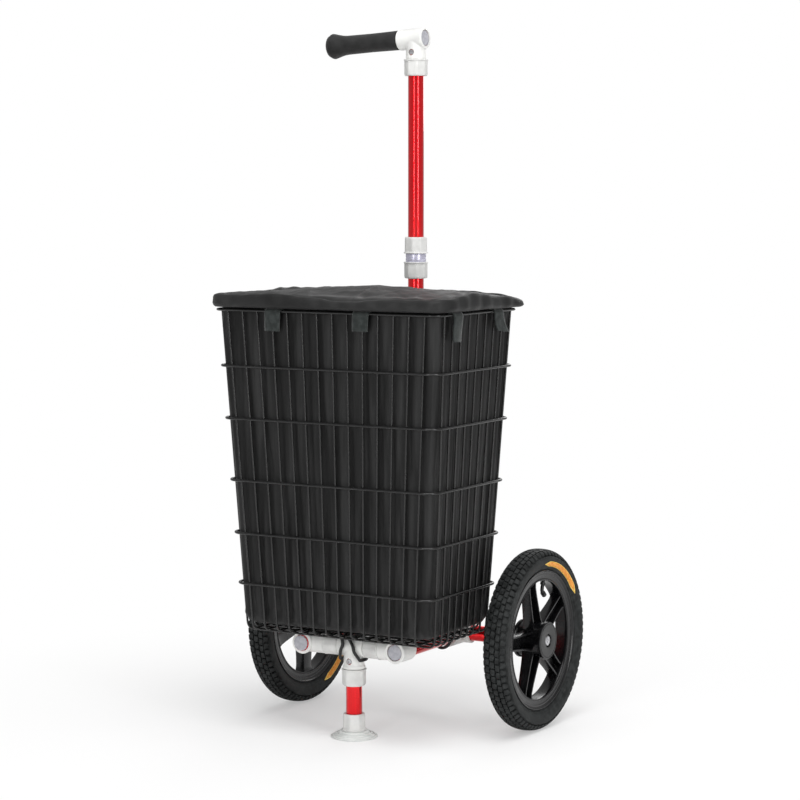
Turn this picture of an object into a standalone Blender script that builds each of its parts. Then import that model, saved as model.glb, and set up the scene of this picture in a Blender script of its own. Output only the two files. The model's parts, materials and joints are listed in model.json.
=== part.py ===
"""Two-wheeled basket trailer: red tube frame in white pipe connectors, wire basket, cloth bag and lid.

Metres, +Z up, +X to the right wheel, -Y to the front foot, ground at z = 0.
The origin is under the middle of the whole trailer's outline.
"""
from math import cos, pi, radians, sin

import bmesh
import bpy
from mathutils import Matrix, Vector

# Fits
GAP = 0.0003               # clearance between neighbouring pieces
WELD = 0.0008              # how deep one welded wire bites into another

# Tubes
TUBE_R = 0.0125
TUBE_WALL = 0.0015
TUBE_SIDES = 16
OVERRUN = 0.0100           # how far a bore's cutter runs past the end that it opens

# Wheels
TYRE_R = 0.1425
TYRE_HALF_WIDTH = 0.0245
TYRE_WALL = 0.0045
TYRE_CROWN = 0.0040        # drop from the tread's middle to its edge
TYRE_SHOULDER = 0.0160     # drop to where the tyre is widest
RIM_R = 0.1100
RIM_HALF_WIDTH = 0.0190
RIM_LIP = 0.0025
RIM_WELL_R = 0.0985
RIM_WELL_HALF = 0.0060
RIM_BARREL_R = 0.0930
BEAD_SEAT_R = 0.1030
BEAD_WIDTH = 0.0050
HUB_R = 0.0280
HUB_INNER = 0.0255         # hub reach from the wheel's middle plane towards the frame
HUB_OUTER = 0.0240         # and away from it
HUB_EDGE = 0.0015
SPOKES = 5
SPOKE_ROOT_R = 0.0230      # a spoke starts inside the hub and ends inside the rim
SPOKE_BITE = 0.0022
SPOKE_WIDTH_HUB = 0.0280
SPOKE_WIDTH_RIM = 0.0220
SPOKE_DEPTH = 0.0240
SPOKE_WALL = 0.0032
SPOKE_PHASE = {1: radians(36), -1: radians(90)}
TRACK_HALF = 0.2155        # middle plane of a wheel from the trailer's middle
WHEEL_SIDES = 28

# Axle hardware
BOLT_R = 0.0050
BOLT_HEAD_R = 0.0080
BOLT_HEAD = 0.0055
BOLT_RECESS = 0.0006       # bolt head's face behind the hub's
BOLT_SOCKET_R = 0.0042
BOLT_SOCKET = 0.0030
BEARING_R = 0.0130
BEARING_WIDTH = 0.0080
BEARING_INSET = 0.0010     # inner bearing behind the hub's inner face
BEARING_SHIELD = 0.0007    # shield set in between the two races
RACE = 0.0022
SPACER_R = 0.0075
AXLE_SETBACK = 0.0080      # axle tube's end from the hub's inner face
PLUG_DEPTH = 0.0200
PLUG_FLANGE = 0.0030
BOLT_THREAD = 0.0150       # length of bolt held in the plug
VALVE_R = 0.0028
VALVE_LENGTH = 0.0200
VALVE_BASE = 0.0015
VALVE_COLLAR = 0.0022
VALVE_CAP = 0.0010
VALVE_CAP_LENGTH = 0.0070
VALVE_ANGLE = {1: radians(72), -1: radians(126)}
SMALL_SIDES = 12

# Connectors
TEE_R = 0.0165
CLAMP_R = 0.0175           # barrels that hold the two long rails
STEM_R = 0.0160
SPIGOT_R = 0.0150          # threaded end inside a nut
SPIGOT_LENGTH = 0.0140
STEM_LENGTH = 0.0380       # axis of a tee's barrel to the end of its stem
TEE_HALF = 0.0230
REAR_TEE_HALF = 0.0210
NUT_R = 0.0180
NUT_LENGTH = 0.0260
NUT_SIDES = 8
NUT_FLANGE_R = 0.0195
NUT_FLANGE = 0.0018
CROSS_NUT_R = 0.0170       # the two nuts under the basket floor are slimmer
CROSS_NUT_SIDES = 12
CROSS_NUT_FLANGE_R = 0.0173
BODY_SIDES = 16
SCREW_HEAD_R = 0.0036
SCREW_DROP = 0.0300        # screw below the barrel's axis on a stem
SCREW_TWIST = radians(8)

# Frame
RAIL_X = 0.0838
CROSS_Y = 0.1900           # cross tube in front of the axle
RAIL_FRONT = 0.0196        # rail connector ahead of the cross tube's axis
RAIL_PROUD = {-1: 0.0045, 1: 0.0}         # how far a rail's cap stands out of its connector
CLAMP_LENGTH = 0.0686
REAR_REACH = 0.0460        # rear connector's socket ahead of the axle
CAP_THICK = 0.0020
CAP_DEPTH = 0.0100
CAP_EDGE = 0.0010

# Leg and foot
FOOT_R = 0.0365
FOOT_EDGE = 0.0045
FOOT_SHOULDER_R = 0.0230
FOOT_HEIGHT = 0.0105
FOOT_NECK = 0.0160
COLLAR_LENGTH = 0.0260
COLLAR_FLANGE = 0.0040
FOOT_SIDES = 24

# Mast and handle
TOTAL_HEIGHT = 1.1000
COUPLER_Z = 0.7373         # middle of the coupler's metal band
BAND_LENGTH = 0.0130
BAND_R = 0.0160
COLLET_LENGTH = 0.0035     # grip ring between the sleeve's end and a coupler nut
HANDLE_DROOP = radians(3)
ELBOW_FAR = 0.0175         # elbow end with the cap, from the mast's axis
ELBOW_NEAR = 0.0288        # elbow end towards the grip
HANDLE_STEM = 0.0320
GRIP_R = 0.0152
GRIP_FLARE_R = 0.0202
GRIP_LENGTH = 0.1340
GRIP_FLARE = 0.0330
GRIP_DOME = 0.0090
GRIP_WALL = 0.0020         # foam between the bar's end and the dome
HANDLE_SCREW_DROP = 0.0050  # screw below the elbow's barrel

# Wire basket
WHEEL_ROOM = 0.0196        # basket floor's hoop line to the tyre
FLARE_X = 0.0295           # how much further out the rim is than the floor
FLARE_Y = 0.0225
RIM_HALF_Y = 0.1251
BASKET_HEIGHT = 0.5000     # floor wires to the rim wire
BASKET_SETBACK = 0.1535    # basket's middle in front of the axle
CORNER_R = 0.0210
HOOP_R = 0.0020
WIRE_R = 0.0017
BEND_R = 0.0090
LOW_HOOP = 0.0110          # lowest hoop above the floor wires
HOOP_SHARES = (0.144, 0.307, 0.472, 0.664, 0.827, 1.0)
UPRIGHTS_X = 14
UPRIGHTS_Y = 9
UPRIGHT_MARGIN_X = 0.0265
UPRIGHT_MARGIN_Y = 0.0225
WELDED_UPRIGHTS = (4, 9)   # uprights that carry the hoops below the rim
TIE_R = 0.0015
TIE_SETBACK = 0.0200       # rail straps in front of the rear connectors

# Cloth
CLOTH = 0.0015
BAG_CLEAR = 0.0010
BAG_ROUND = 0.0140
TAB_WIDTH = 0.0280
TAB_DROP = 0.0240
TAB_X = 0.0780
TAB_Y = 0.0730
LID_OVERHANG = 0.0110
LID_HEM = 0.0195
LID_CROWN = 0.0140
LID_CLOTH = 0.0025
LID_FLANGE = 0.0080
LID_FOLD = 0.0200          # fold line in front of the rear rim wire

# Places that follow from the sizes above
AXLE_Z = TYRE_R
AXLE_HALF = TRACK_HALF - HUB_INNER - AXLE_SETBACK
FLOOR_HALF_X = TRACK_HALF - TYRE_HALF_WIDTH - WHEEL_ROOM
FLOOR_HALF_Y = RIM_HALF_Y - FLARE_Y
RIM_HALF_X = FLOOR_HALF_X + FLARE_X
AXLE_Y = (BASKET_SETBACK + RIM_HALF_Y + LID_OVERHANG - TYRE_R) / 2
BASKET_Y = AXLE_Y - BASKET_SETBACK
LEG_Y = AXLE_Y - CROSS_Y
LOW_WIRE_Z = AXLE_Z + CLAMP_R + GAP + WIRE_R
TOP_WIRE_Z = LOW_WIRE_Z + 2 * WIRE_R + GAP
RIM_Z = LOW_WIRE_Z + BASKET_HEIGHT
BAG_FLOOR_Z = TOP_WIRE_Z + WIRE_R + 2 * TIE_R + 2 * GAP
TAB_TOP_Z = RIM_Z + HOOP_R + GAP + CLOTH
HANDLE_Z = TOTAL_HEIGHT - TEE_R * cos(HANDLE_DROOP) - ELBOW_FAR * sin(HANDLE_DROOP)
FLATS = 1 / cos(pi / TUBE_SIDES)          # widens a bore so that its flat facets clear what it holds
BORE_R = (TUBE_R + GAP) * FLATS
COUNTERBORE_R = (SPIGOT_R + GAP) * FLATS

X = Vector((1, 0, 0))
Y = Vector((0, 1, 0))
Z = Vector((0, 0, 1))
GRIP_DIRECTION = Vector((-cos(HANDLE_DROOP), 0, -sin(HANDLE_DROOP)))

PARTS = None
CUTTERS = None


def clear_scene():
    for thing in list(bpy.context.scene.objects):
        bpy.data.objects.remove(thing, do_unlink=True)


def new_collection(name):
    collection = bpy.data.collections.new(name)
    bpy.context.scene.collection.children.link(collection)
    return collection


def material(name, colour, roughness, metallic=0.0):
    surface = bpy.data.materials.new(name)
    surface.use_nodes = True
    shader = surface.node_tree.nodes["Principled BSDF"]
    shader.inputs["Base Color"].default_value = (*colour, 1.0)
    shader.inputs["Roughness"].default_value = roughness
    shader.inputs["Metallic"].default_value = metallic
    surface.diffuse_color = (*colour, 1.0)
    return surface


def make_materials():
    return {
        "anodised_red": material("anodised_red", (0.55, 0.003, 0.012), 0.22, 0.9),
        "white_nylon": material("white_nylon", (0.78, 0.77, 0.75), 0.45),
        "ivory_nylon": material("ivory_nylon", (0.70, 0.69, 0.65), 0.5),
        "grey_plug": material("grey_plug", (0.45, 0.45, 0.48), 0.5),
        "bare_aluminium": material("bare_aluminium", (0.75, 0.75, 0.80), 0.3, 1.0),
        "zinc_steel": material("zinc_steel", (0.60, 0.60, 0.62), 0.35, 1.0),
        "tyre_rubber": material("tyre_rubber", (0.022, 0.024, 0.024), 0.75),
        "black_nylon": material("black_nylon", (0.018, 0.018, 0.019), 0.35),
        "grip_foam": material("grip_foam", (0.03, 0.03, 0.03), 0.8),
        "coated_wire": material("coated_wire", (0.02, 0.02, 0.02), 0.3, 0.2),
        "bag_cloth": material("bag_cloth", (0.020, 0.020, 0.021), 0.85),
        "foot_vinyl": material("foot_vinyl", (0.72, 0.73, 0.72), 0.4),
    }


def frame_at(centre, axis, twist=0.0):
    """A placement whose local Z runs along the axis; its local X is on a world direction, then twisted."""
    ez = Vector(axis).normalized()
    reference = X if abs(ez.y) > 0.9 or abs(ez.z) > 0.9 else Y
    ex = (reference - ez * reference.dot(ez)).normalized()
    ey = ez.cross(ex)
    turn = Matrix((ex, ey, ez)).transposed().to_4x4()
    return Matrix.Translation(centre) @ turn @ Matrix.Rotation(twist, 4, "Z")


def add_object(name, data, placement, collection, surface=None):
    obj = bpy.data.objects.new(name, data)
    obj.matrix_world = placement
    collection.objects.link(obj)
    if surface:
        obj.data.materials.append(surface)
    if collection == CUTTERS:
        obj.hide_render = True
        obj.display_type = "WIRE"
    return obj


def smooth(mesh):
    mesh.shade_smooth()
    mesh.set_sharp_from_angle(angle=radians(35))


def turned(name, profile, placement, surface=None, sides=TUBE_SIDES, closed=True):
    """Revolves a profile of (radius, height) points about local Z; its outer side runs downwards."""
    mesh = bpy.data.meshes.new(name)
    count = len(profile)
    edges = [(i, i + 1) for i in range(count - 1)]
    if closed:
        edges.append((count - 1, 0))
    mesh.from_pydata([(r, 0.0, h) for r, h in profile], edges, [])
    obj = add_object(name, mesh, placement, PARTS if surface else CUTTERS, surface)
    screw = obj.modifiers.new("Turn", "SCREW")
    screw.axis = "Z"
    screw.steps = sides
    screw.render_steps = sides
    screw.use_merge_vertices = True
    screw.merge_threshold = 0.00001
    screw.use_smooth_shade = True
    return obj


def pipe(name, start, end, outer, inner, surface, sides=TUBE_SIDES, twist=0.0):
    """A straight open tube between two points."""
    length = (end - start).length
    profile = [(outer, length), (outer, 0.0), (inner, 0.0), (inner, length)]
    return turned(name, profile, frame_at(start, end - start, twist), surface, sides)


def rod(name, start, end, radius, surface=None, sides=TUBE_SIDES, twist=0.0):
    """A solid cylinder between two points; without a surface it is a cutter or a joined piece."""
    mesh = bpy.data.meshes.new(name)
    shape = bmesh.new()
    length = (end - start).length
    bmesh.ops.create_cone(shape, cap_ends=True, segments=sides, radius1=radius, radius2=radius,
                          depth=length, matrix=Matrix.Translation((0, 0, length / 2)))
    shape.to_mesh(mesh)
    shape.free()
    smooth(mesh)
    placement = frame_at(start, end - start, twist)
    return add_object(name, mesh, placement, PARTS if surface else CUTTERS, surface)


def combine(target, other, operation):
    change = target.modifiers.new(operation.title(), "BOOLEAN")
    change.object = other
    change.operation = operation
    change.solver = "EXACT"
    if other.name not in CUTTERS.objects:
        CUTTERS.objects.link(other)
    other.hide_render = True
    other.display_type = "WIRE"


def connector(name, surface, barrels, bores, screw_holes=()):
    """A moulded pipe connector: joined round barrels with round bores cut through them."""
    core = BORE_R / 2
    half_facet = pi / BODY_SIDES
    start, end, radius = barrels[0]
    body = pipe(name, start, end, radius, core, surface, BODY_SIDES)
    for number, (start, end, radius) in enumerate(barrels[1:]):
        twist = half_facet / (number + 1)
        branch = pipe(f"{name}_branch_{number}", start, end, radius, core, None, BODY_SIDES, twist)
        combine(body, branch, "UNION")
    for number, (start, end, radius) in enumerate(bores):
        cutter = rod(f"{name}_bore_{number}", start, end, radius, None, TUBE_SIDES, (1 - number) * half_facet)
        combine(body, cutter, "DIFFERENCE")
    for number, (start, end, radius) in enumerate(screw_holes):
        cutter = rod(f"{name}_screw_hole_{number}", start, end, radius, None, SMALL_SIDES, SCREW_TWIST)
        combine(body, cutter, "DIFFERENCE")
    return body


def nut(name, mouth, direction, surface, radius=NUT_R, flange_r=NUT_FLANGE_R, flats=NUT_SIDES, room=0.0):
    """A compression nut: its flanged mouth takes the threaded spigot, its far lip closes on the tube."""
    placement = frame_at(mouth, direction)
    length = NUT_LENGTH
    body = turned(name, [(0, length), (radius - 0.0012, length), (radius, length - 0.0015), (radius, 0), (0, 0)],
                  placement, surface, flats, closed=False)
    flange = turned(f"{name}_flange", [(0, NUT_FLANGE), (flange_r, NUT_FLANGE), (flange_r, 0), (0, 0)],
                    placement, None, BODY_SIDES, closed=False)
    combine(body, flange, "UNION")
    reach = 0.002
    seat = SPIGOT_LENGTH + GAP + room
    bore = turned(f"{name}_bore", [(0, length + reach), (BORE_R, length + reach), (BORE_R, seat),
                                   (COUNTERBORE_R, seat), (COUNTERBORE_R, -reach), (0, -reach)],
                  placement, None, TUBE_SIDES, closed=False)
    combine(body, bore, "DIFFERENCE")
    return body


def screw(name, seat, direction, surface):
    """A short screw whose head stands in its connector's hole."""
    placement = frame_at(seat, direction, SCREW_TWIST)
    depth = STEM_R - BORE_R - GAP
    socket_r = SCREW_HEAD_R * 0.5
    profile = [(0, depth - 0.0012), (socket_r, depth - 0.0012), (socket_r, depth - 0.0003),
               (SCREW_HEAD_R, depth - 0.0003), (SCREW_HEAD_R, 0), (0, 0)]
    return turned(name, profile, placement, surface, SMALL_SIDES, closed=False)


def stem_screw_hole(axis_point):
    """The hole in a stem's front for its screw, from the tube bore outwards."""
    return (axis_point - Y * (BORE_R - 0.002), axis_point - Y * (STEM_R + 0.004), SCREW_HEAD_R + GAP)


def stem_screw_seat(axis_point):
    return axis_point - Y * (BORE_R + GAP)


def build_rails(paint, nylon, plug):
    front = AXLE_Y - CROSS_Y - RAIL_FRONT
    for side, label in ((-1, "left"), (1, "right")):
        on_rail = Vector((side * RAIL_X, 0, AXLE_Z))
        cap_front = on_rail + Y * (front + 2 * GAP - RAIL_PROUD[side])
        rail_start = cap_front + Y * (CAP_THICK + GAP)
        rail_end = on_rail + Y * (AXLE_Y - TUBE_R - 3 * GAP)
        pipe(f"rail_{label}", rail_start, rail_end, TUBE_R, TUBE_R - TUBE_WALL, paint)
        plug_r = TUBE_R - TUBE_WALL - GAP
        edge_r = TUBE_R - GAP
        rise = CAP_DEPTH - CAP_THICK
        turned(f"rail_cap_{label}",
               [(0, CAP_DEPTH), (TUBE_R - CAP_EDGE, CAP_DEPTH), (edge_r, CAP_DEPTH - CAP_EDGE),
                (edge_r, rise), (plug_r, rise), (plug_r, 0), (0, 0)],
               frame_at(cap_front + Y * CAP_DEPTH, -Y), plug, TUBE_SIDES, closed=False)
        cross = on_rail + Y * LEG_Y
        inward = -side * X
        branch_end = cross + inward * (RAIL_X - TEE_HALF - NUT_LENGTH - 2 * GAP)
        connector(f"front_tee_{label}", nylon,
                  [(on_rail + Y * front, on_rail + Y * (front + CLAMP_LENGTH), CLAMP_R),
                   (cross, branch_end, TEE_R),
                   (cross, branch_end + inward * SPIGOT_LENGTH, SPIGOT_R)],
                  [(on_rail + Y * (front - OVERRUN), on_rail + Y * (front + CLAMP_LENGTH + OVERRUN), BORE_R),
                   (cross, branch_end + inward * (SPIGOT_LENGTH + OVERRUN), BORE_R)])
        at_axle = Vector((side * RAIL_X, AXLE_Y, AXLE_Z))
        half = REAR_TEE_HALF
        past = REAR_TEE_HALF + OVERRUN
        connector(f"rear_tee_{label}", nylon,
                  [(at_axle - X * half, at_axle + X * half, TEE_R),
                   (at_axle, at_axle - Y * REAR_REACH, CLAMP_R)],
                  [(at_axle - X * past, at_axle + X * past, BORE_R),
                   (at_axle, at_axle - Y * (REAR_REACH + OVERRUN), BORE_R)])


def build_cross(paint, nylon, ivory, steel, vinyl):
    middle = Vector((0, LEG_Y, AXLE_Z))
    reach = RAIL_X - TUBE_R - 3 * GAP
    pipe("cross_tube", middle - X * reach, middle + X * reach, TUBE_R, TUBE_R - TUBE_WALL, paint)
    for side, label in ((-1, "left"), (1, "right")):
        mouth = middle + X * side * (TEE_HALF + NUT_LENGTH + GAP)
        nut(f"cross_nut_{label}", mouth, -side * X, ivory, CROSS_NUT_R, CROSS_NUT_FLANGE_R, CROSS_NUT_SIDES)
    stem_end = middle - Z * STEM_LENGTH
    spigot_end = stem_end - Z * SPIGOT_LENGTH
    screw_at = middle - Z * SCREW_DROP
    connector("leg_tee", nylon,
              [(middle - X * TEE_HALF, middle + X * TEE_HALF, TEE_R),
               (middle, stem_end, STEM_R), (middle, spigot_end, SPIGOT_R)],
              [(middle - X * (TEE_HALF + OVERRUN), middle + X * (TEE_HALF + OVERRUN), BORE_R),
               (middle, spigot_end - Z * OVERRUN, BORE_R)],
              [stem_screw_hole(screw_at)])
    screw("leg_screw", stem_screw_seat(screw_at), -Y, steel)
    nut("leg_nut", stem_end - Z * GAP, -Z, ivory)
    tube_top = middle - Z * (TUBE_R + 3 * GAP)
    tube_foot = Vector((0, LEG_Y, FOOT_HEIGHT + GAP))
    pipe("leg_tube", tube_foot, tube_top, TUBE_R, TUBE_R - TUBE_WALL, paint)
    ground = Vector((0, LEG_Y, 0))
    neck_top = FOOT_HEIGHT + FOOT_NECK
    turned("foot", [(0, FOOT_HEIGHT), (BORE_R, FOOT_HEIGHT), (BORE_R, neck_top), (SPIGOT_R, neck_top),
                    (SPIGOT_R, FOOT_HEIGHT), (FOOT_SHOULDER_R, FOOT_HEIGHT), (FOOT_R, FOOT_EDGE), (FOOT_R, 0),
                    (0, 0)],
           frame_at(ground, Z), vinyl, FOOT_SIDES, closed=False)
    collar_base = ground + Z * (FOOT_HEIGHT + GAP)
    flare = turned("leg_collar", [(COUNTERBORE_R, FOOT_NECK + GAP), (BORE_R, FOOT_NECK + GAP),
                                  (BORE_R, COLLAR_LENGTH), (NUT_R - 0.001, COLLAR_LENGTH),
                                  (NUT_R, COLLAR_LENGTH - 0.0015), (NUT_FLANGE_R, COLLAR_FLANGE),
                                  (NUT_FLANGE_R, 0), (COUNTERBORE_R, 0)],
                   frame_at(collar_base, Z), ivory, TUBE_SIDES)
    return flare


def build_axle(paint, nylon, ivory, steel):
    middle = Vector((0, AXLE_Y, AXLE_Z))
    pipe("axle_tube", middle - X * AXLE_HALF, middle + X * AXLE_HALF, TUBE_R, TUBE_R - TUBE_WALL, paint)
    stem_end = middle + Z * STEM_LENGTH
    spigot_end = stem_end + Z * SPIGOT_LENGTH
    screw_at = middle + Z * SCREW_DROP
    connector("mast_tee", nylon,
              [(middle - X * TEE_HALF, middle + X * TEE_HALF, TEE_R),
               (middle, stem_end, STEM_R), (middle, spigot_end, SPIGOT_R)],
              [(middle - X * (TEE_HALF + OVERRUN), middle + X * (TEE_HALF + OVERRUN), BORE_R),
               (middle, spigot_end + Z * OVERRUN, BORE_R)],
              [stem_screw_hole(screw_at)])
    screw("mast_screw", stem_screw_seat(screw_at), -Y, steel)
    nut("mast_nut", stem_end + Z * GAP, Z, ivory)
    hub_face = TRACK_HALF - HUB_INNER
    plug_end = hub_face + BEARING_INSET - GAP
    for side, label in ((-1, "left"), (1, "right")):
        start = AXLE_HALF - PLUG_DEPTH
        plug_r = TUBE_R - TUBE_WALL - GAP
        bore = BOLT_R + GAP
        flange = AXLE_HALF + GAP
        turned(f"axle_plug_{label}",
               [(SPACER_R, plug_end), (SPACER_R, flange + PLUG_FLANGE), (TUBE_R, flange + PLUG_FLANGE),
                (TUBE_R, flange), (plug_r, flange), (plug_r, start), (bore, start), (bore, plug_end)],
               frame_at(middle, side * X), steel)


def wheel_frame(side):
    return frame_at(Vector((side * TRACK_HALF, AXLE_Y, AXLE_Z)), side * X)


def tyre_profile():
    seat = BEAD_SEAT_R + GAP
    bead = RIM_HALF_WIDTH - RIM_LIP - GAP
    heel = bead - BEAD_WIDTH
    outer = [(TYRE_R, TYRE_HALF_WIDTH * 0.32), (TYRE_R - TYRE_CROWN, TYRE_HALF_WIDTH * 0.76),
             (TYRE_R - TYRE_SHOULDER, TYRE_HALF_WIDTH), (RIM_R + 2 * GAP, bead), (seat, bead), (seat, heel)]
    inner = [(TYRE_R - TYRE_WALL, 0.0), (TYRE_R - TYRE_SHOULDER, TYRE_HALF_WIDTH - TYRE_WALL)]
    upper = list(reversed(outer))
    lower = [(r, -h) for r, h in outer]
    return upper + lower + [(r, -h) for r, h in reversed(inner[1:])] + inner


def rim_profile():
    lip = RIM_HALF_WIDTH - RIM_LIP
    heel = lip - BEAD_WIDTH - 2 * GAP
    outer = [(RIM_R, RIM_HALF_WIDTH), (RIM_R, lip), (BEAD_SEAT_R, lip), (BEAD_SEAT_R, heel),
             (RIM_WELL_R, RIM_WELL_HALF)]
    inner = [(RIM_BARREL_R, lip)]
    lower = [(r, -h) for r, h in reversed(outer)]
    return outer + lower + [(r, -h) for r, h in reversed(inner)] + inner


def hub_profile():
    top = HUB_OUTER
    bottom = -HUB_INNER
    bolt_bore = SPACER_R + 0.0010
    pocket = (BEARING_R + GAP) * FLATS
    inner_seat = bottom + BEARING_INSET + BEARING_WIDTH + GAP
    seat = top - BOLT_HEAD - BOLT_RECESS - BEARING_WIDTH - GAP
    return [(HUB_R - HUB_EDGE, top), (HUB_R, top - HUB_EDGE), (HUB_R, bottom + HUB_EDGE),
            (HUB_R - HUB_EDGE, bottom), (pocket, bottom), (pocket, inner_seat), (bolt_bore, inner_seat),
            (bolt_bore, seat), (pocket, seat), (pocket, top)]


def spoke_mesh(name, phase):
    """Five tapered channel spokes, open to the wheel's outer side."""
    shape = bmesh.new()
    outer_r = RIM_BARREL_R + SPOKE_BITE
    half_depth = SPOKE_DEPTH / 2
    for number in range(SPOKES):
        angle = phase + number * 2 * pi / SPOKES
        turn = Matrix.Rotation(angle, 4, "Z")
        rings = []
        for radius, width in ((SPOKE_ROOT_R, SPOKE_WIDTH_HUB), (outer_r, SPOKE_WIDTH_RIM)):
            edge = width / 2
            lip = edge - SPOKE_WALL
            floor = -half_depth + SPOKE_WALL
            section = [(-edge, -half_depth), (edge, -half_depth), (edge, half_depth), (lip, half_depth),
                       (lip, floor), (-lip, floor), (-lip, half_depth), (-edge, half_depth)]
            rings.append([shape.verts.new(turn @ Vector((radius, t, h))) for t, h in section])
        add_loft_faces(shape, rings, close_start=True, close_end=True)
    mesh = bpy.data.meshes.new(name)
    bmesh.ops.recalc_face_normals(shape, faces=shape.faces)
    shape.to_mesh(mesh)
    shape.free()
    return mesh


def add_loft_faces(shape, rings, close_start, close_end):
    """Joins rings of equal count with quads, with a face over either end if asked."""
    count = len(rings[0])
    for low, high in zip(rings, rings[1:]):
        for i in range(count):
            j = (i + 1) % count
            shape.faces.new((low[i], low[j], high[j], high[i]))
    if close_start:
        shape.faces.new(list(reversed(rings[0])))
    if close_end:
        shape.faces.new(rings[-1])


def build_wheel(side, label, rubber, nylon, steel):
    placement = wheel_frame(side)
    turned(f"tyre_{label}", tyre_profile(), placement, rubber, WHEEL_SIDES)
    rim = turned(f"rim_{label}", rim_profile(), placement, nylon, WHEEL_SIDES)
    hub = turned(f"rim_{label}_hub", hub_profile(), placement, None, BODY_SIDES)
    spokes = add_object(f"rim_{label}_spokes", spoke_mesh(f"rim_{label}_spokes", side * SPOKE_PHASE[side]),
                        placement, CUTTERS)
    combine(hub, spokes, "UNION")
    combine(rim, hub, "UNION")
    valve_turn = Matrix.Rotation(side * VALVE_ANGLE[side], 4, "Z")
    outward = (placement @ valve_turn).to_3x3() @ X
    centre = placement.translation
    well = RIM_WELL_R
    hole = rod(f"rim_{label}_valve_hole", centre + outward * (RIM_BARREL_R - OVERRUN / 2),
               centre + outward * (well + OVERRUN / 2), VALVE_R + GAP, None, SMALL_SIDES)
    combine(rim, hole, "DIFFERENCE")
    base = well + GAP
    tip = well - VALVE_LENGTH
    collar_r = VALVE_R + VALVE_COLLAR
    cap_r = VALVE_R + VALVE_CAP
    cap_top = tip + VALVE_CAP + VALVE_CAP_LENGTH
    turned(f"valve_{label}",
           [(0, base + VALVE_BASE), (collar_r, base + VALVE_BASE), (collar_r, base), (VALVE_R, base),
            (VALVE_R, cap_top), (cap_r, cap_top), (cap_r, tip + VALVE_CAP), (VALVE_R, tip), (0, tip)],
           frame_at(centre, outward), rubber, SMALL_SIDES, closed=False)
    bore = BOLT_R + GAP
    inner_start = -HUB_INNER + BEARING_INSET
    outer_start = HUB_OUTER - BOLT_HEAD - BOLT_RECESS - BEARING_WIDTH
    for place, start in (("inner", inner_start), ("outer", outer_start)):
        end = start + BEARING_WIDTH
        shield = end - BEARING_SHIELD
        turned(f"bearing_{place}_{label}",
               [(BEARING_R, end), (BEARING_R, start), (bore, start), (bore, end), (bore + RACE, end),
                (bore + RACE, shield), (BEARING_R - RACE, shield), (BEARING_R - RACE, end)],
               placement, steel, SMALL_SIDES)
    spacer_start = inner_start + BEARING_WIDTH + GAP
    spacer_end = outer_start - GAP
    turned(f"bearing_spacer_{label}",
           [(SPACER_R, spacer_end), (SPACER_R, spacer_start), (bore, spacer_start), (bore, spacer_end)],
           placement, steel, SMALL_SIDES)
    seat = outer_start + BEARING_WIDTH + GAP
    head_top = seat + BOLT_HEAD - GAP
    bolt_tip = AXLE_HALF - BOLT_THREAD - TRACK_HALF
    bolt = turned(f"wheel_bolt_{label}",
                  [(0, head_top), (BOLT_HEAD_R - 0.0008, head_top), (BOLT_HEAD_R, head_top - 0.0008),
                   (BOLT_HEAD_R, seat), (BOLT_R, seat), (BOLT_R, bolt_tip + 0.001),
                   (BOLT_R - 0.001, bolt_tip), (0, bolt_tip)], placement, steel, SMALL_SIDES, closed=False)
    outward_x = side * X
    socket = rod(f"wheel_bolt_{label}_socket", centre + outward_x * (head_top - BOLT_SOCKET),
                 centre + outward_x * (head_top + OVERRUN), BOLT_SOCKET_R, None, 6)
    combine(bolt, socket, "DIFFERENCE")


def build_mast(paint, ivory, metal, plug):
    axis = Vector((0, AXLE_Y, 0))
    low = AXLE_Z + TUBE_R + 3 * GAP
    pipe("mast_lower", axis + Z * low, axis + Z * (COUPLER_Z - GAP), TUBE_R, TUBE_R - TUBE_WALL, paint)
    half = BAND_LENGTH / 2
    thread = half + GAP + SPIGOT_LENGTH
    turned("coupler_sleeve",
           [(SPIGOT_R, thread), (SPIGOT_R, half), (BAND_R, half), (BAND_R, -half), (SPIGOT_R, -half),
            (SPIGOT_R, -thread), (BORE_R, -thread), (BORE_R, thread)],
           frame_at(axis + Z * COUPLER_Z, Z), metal, BODY_SIDES)
    for place, direction in (("lower", -Z), ("upper", Z)):
        mouth = axis + Z * COUPLER_Z + direction * (half + GAP)
        nut(f"coupler_nut_{place}", mouth, direction, ivory, room=COLLET_LENGTH + GAP)
        turned(f"coupler_collet_{place}",
               [(SPIGOT_R, thread + GAP + COLLET_LENGTH), (SPIGOT_R, thread + GAP), (BORE_R, thread + GAP),
                (BORE_R, thread + GAP + COLLET_LENGTH)],
               frame_at(axis + Z * COUPLER_Z, direction), plug)
    top = HANDLE_Z - TUBE_R - 5 * GAP
    pipe("mast_upper", axis + Z * (COUPLER_Z + GAP), axis + Z * top, TUBE_R, TUBE_R - TUBE_WALL, paint)


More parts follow.
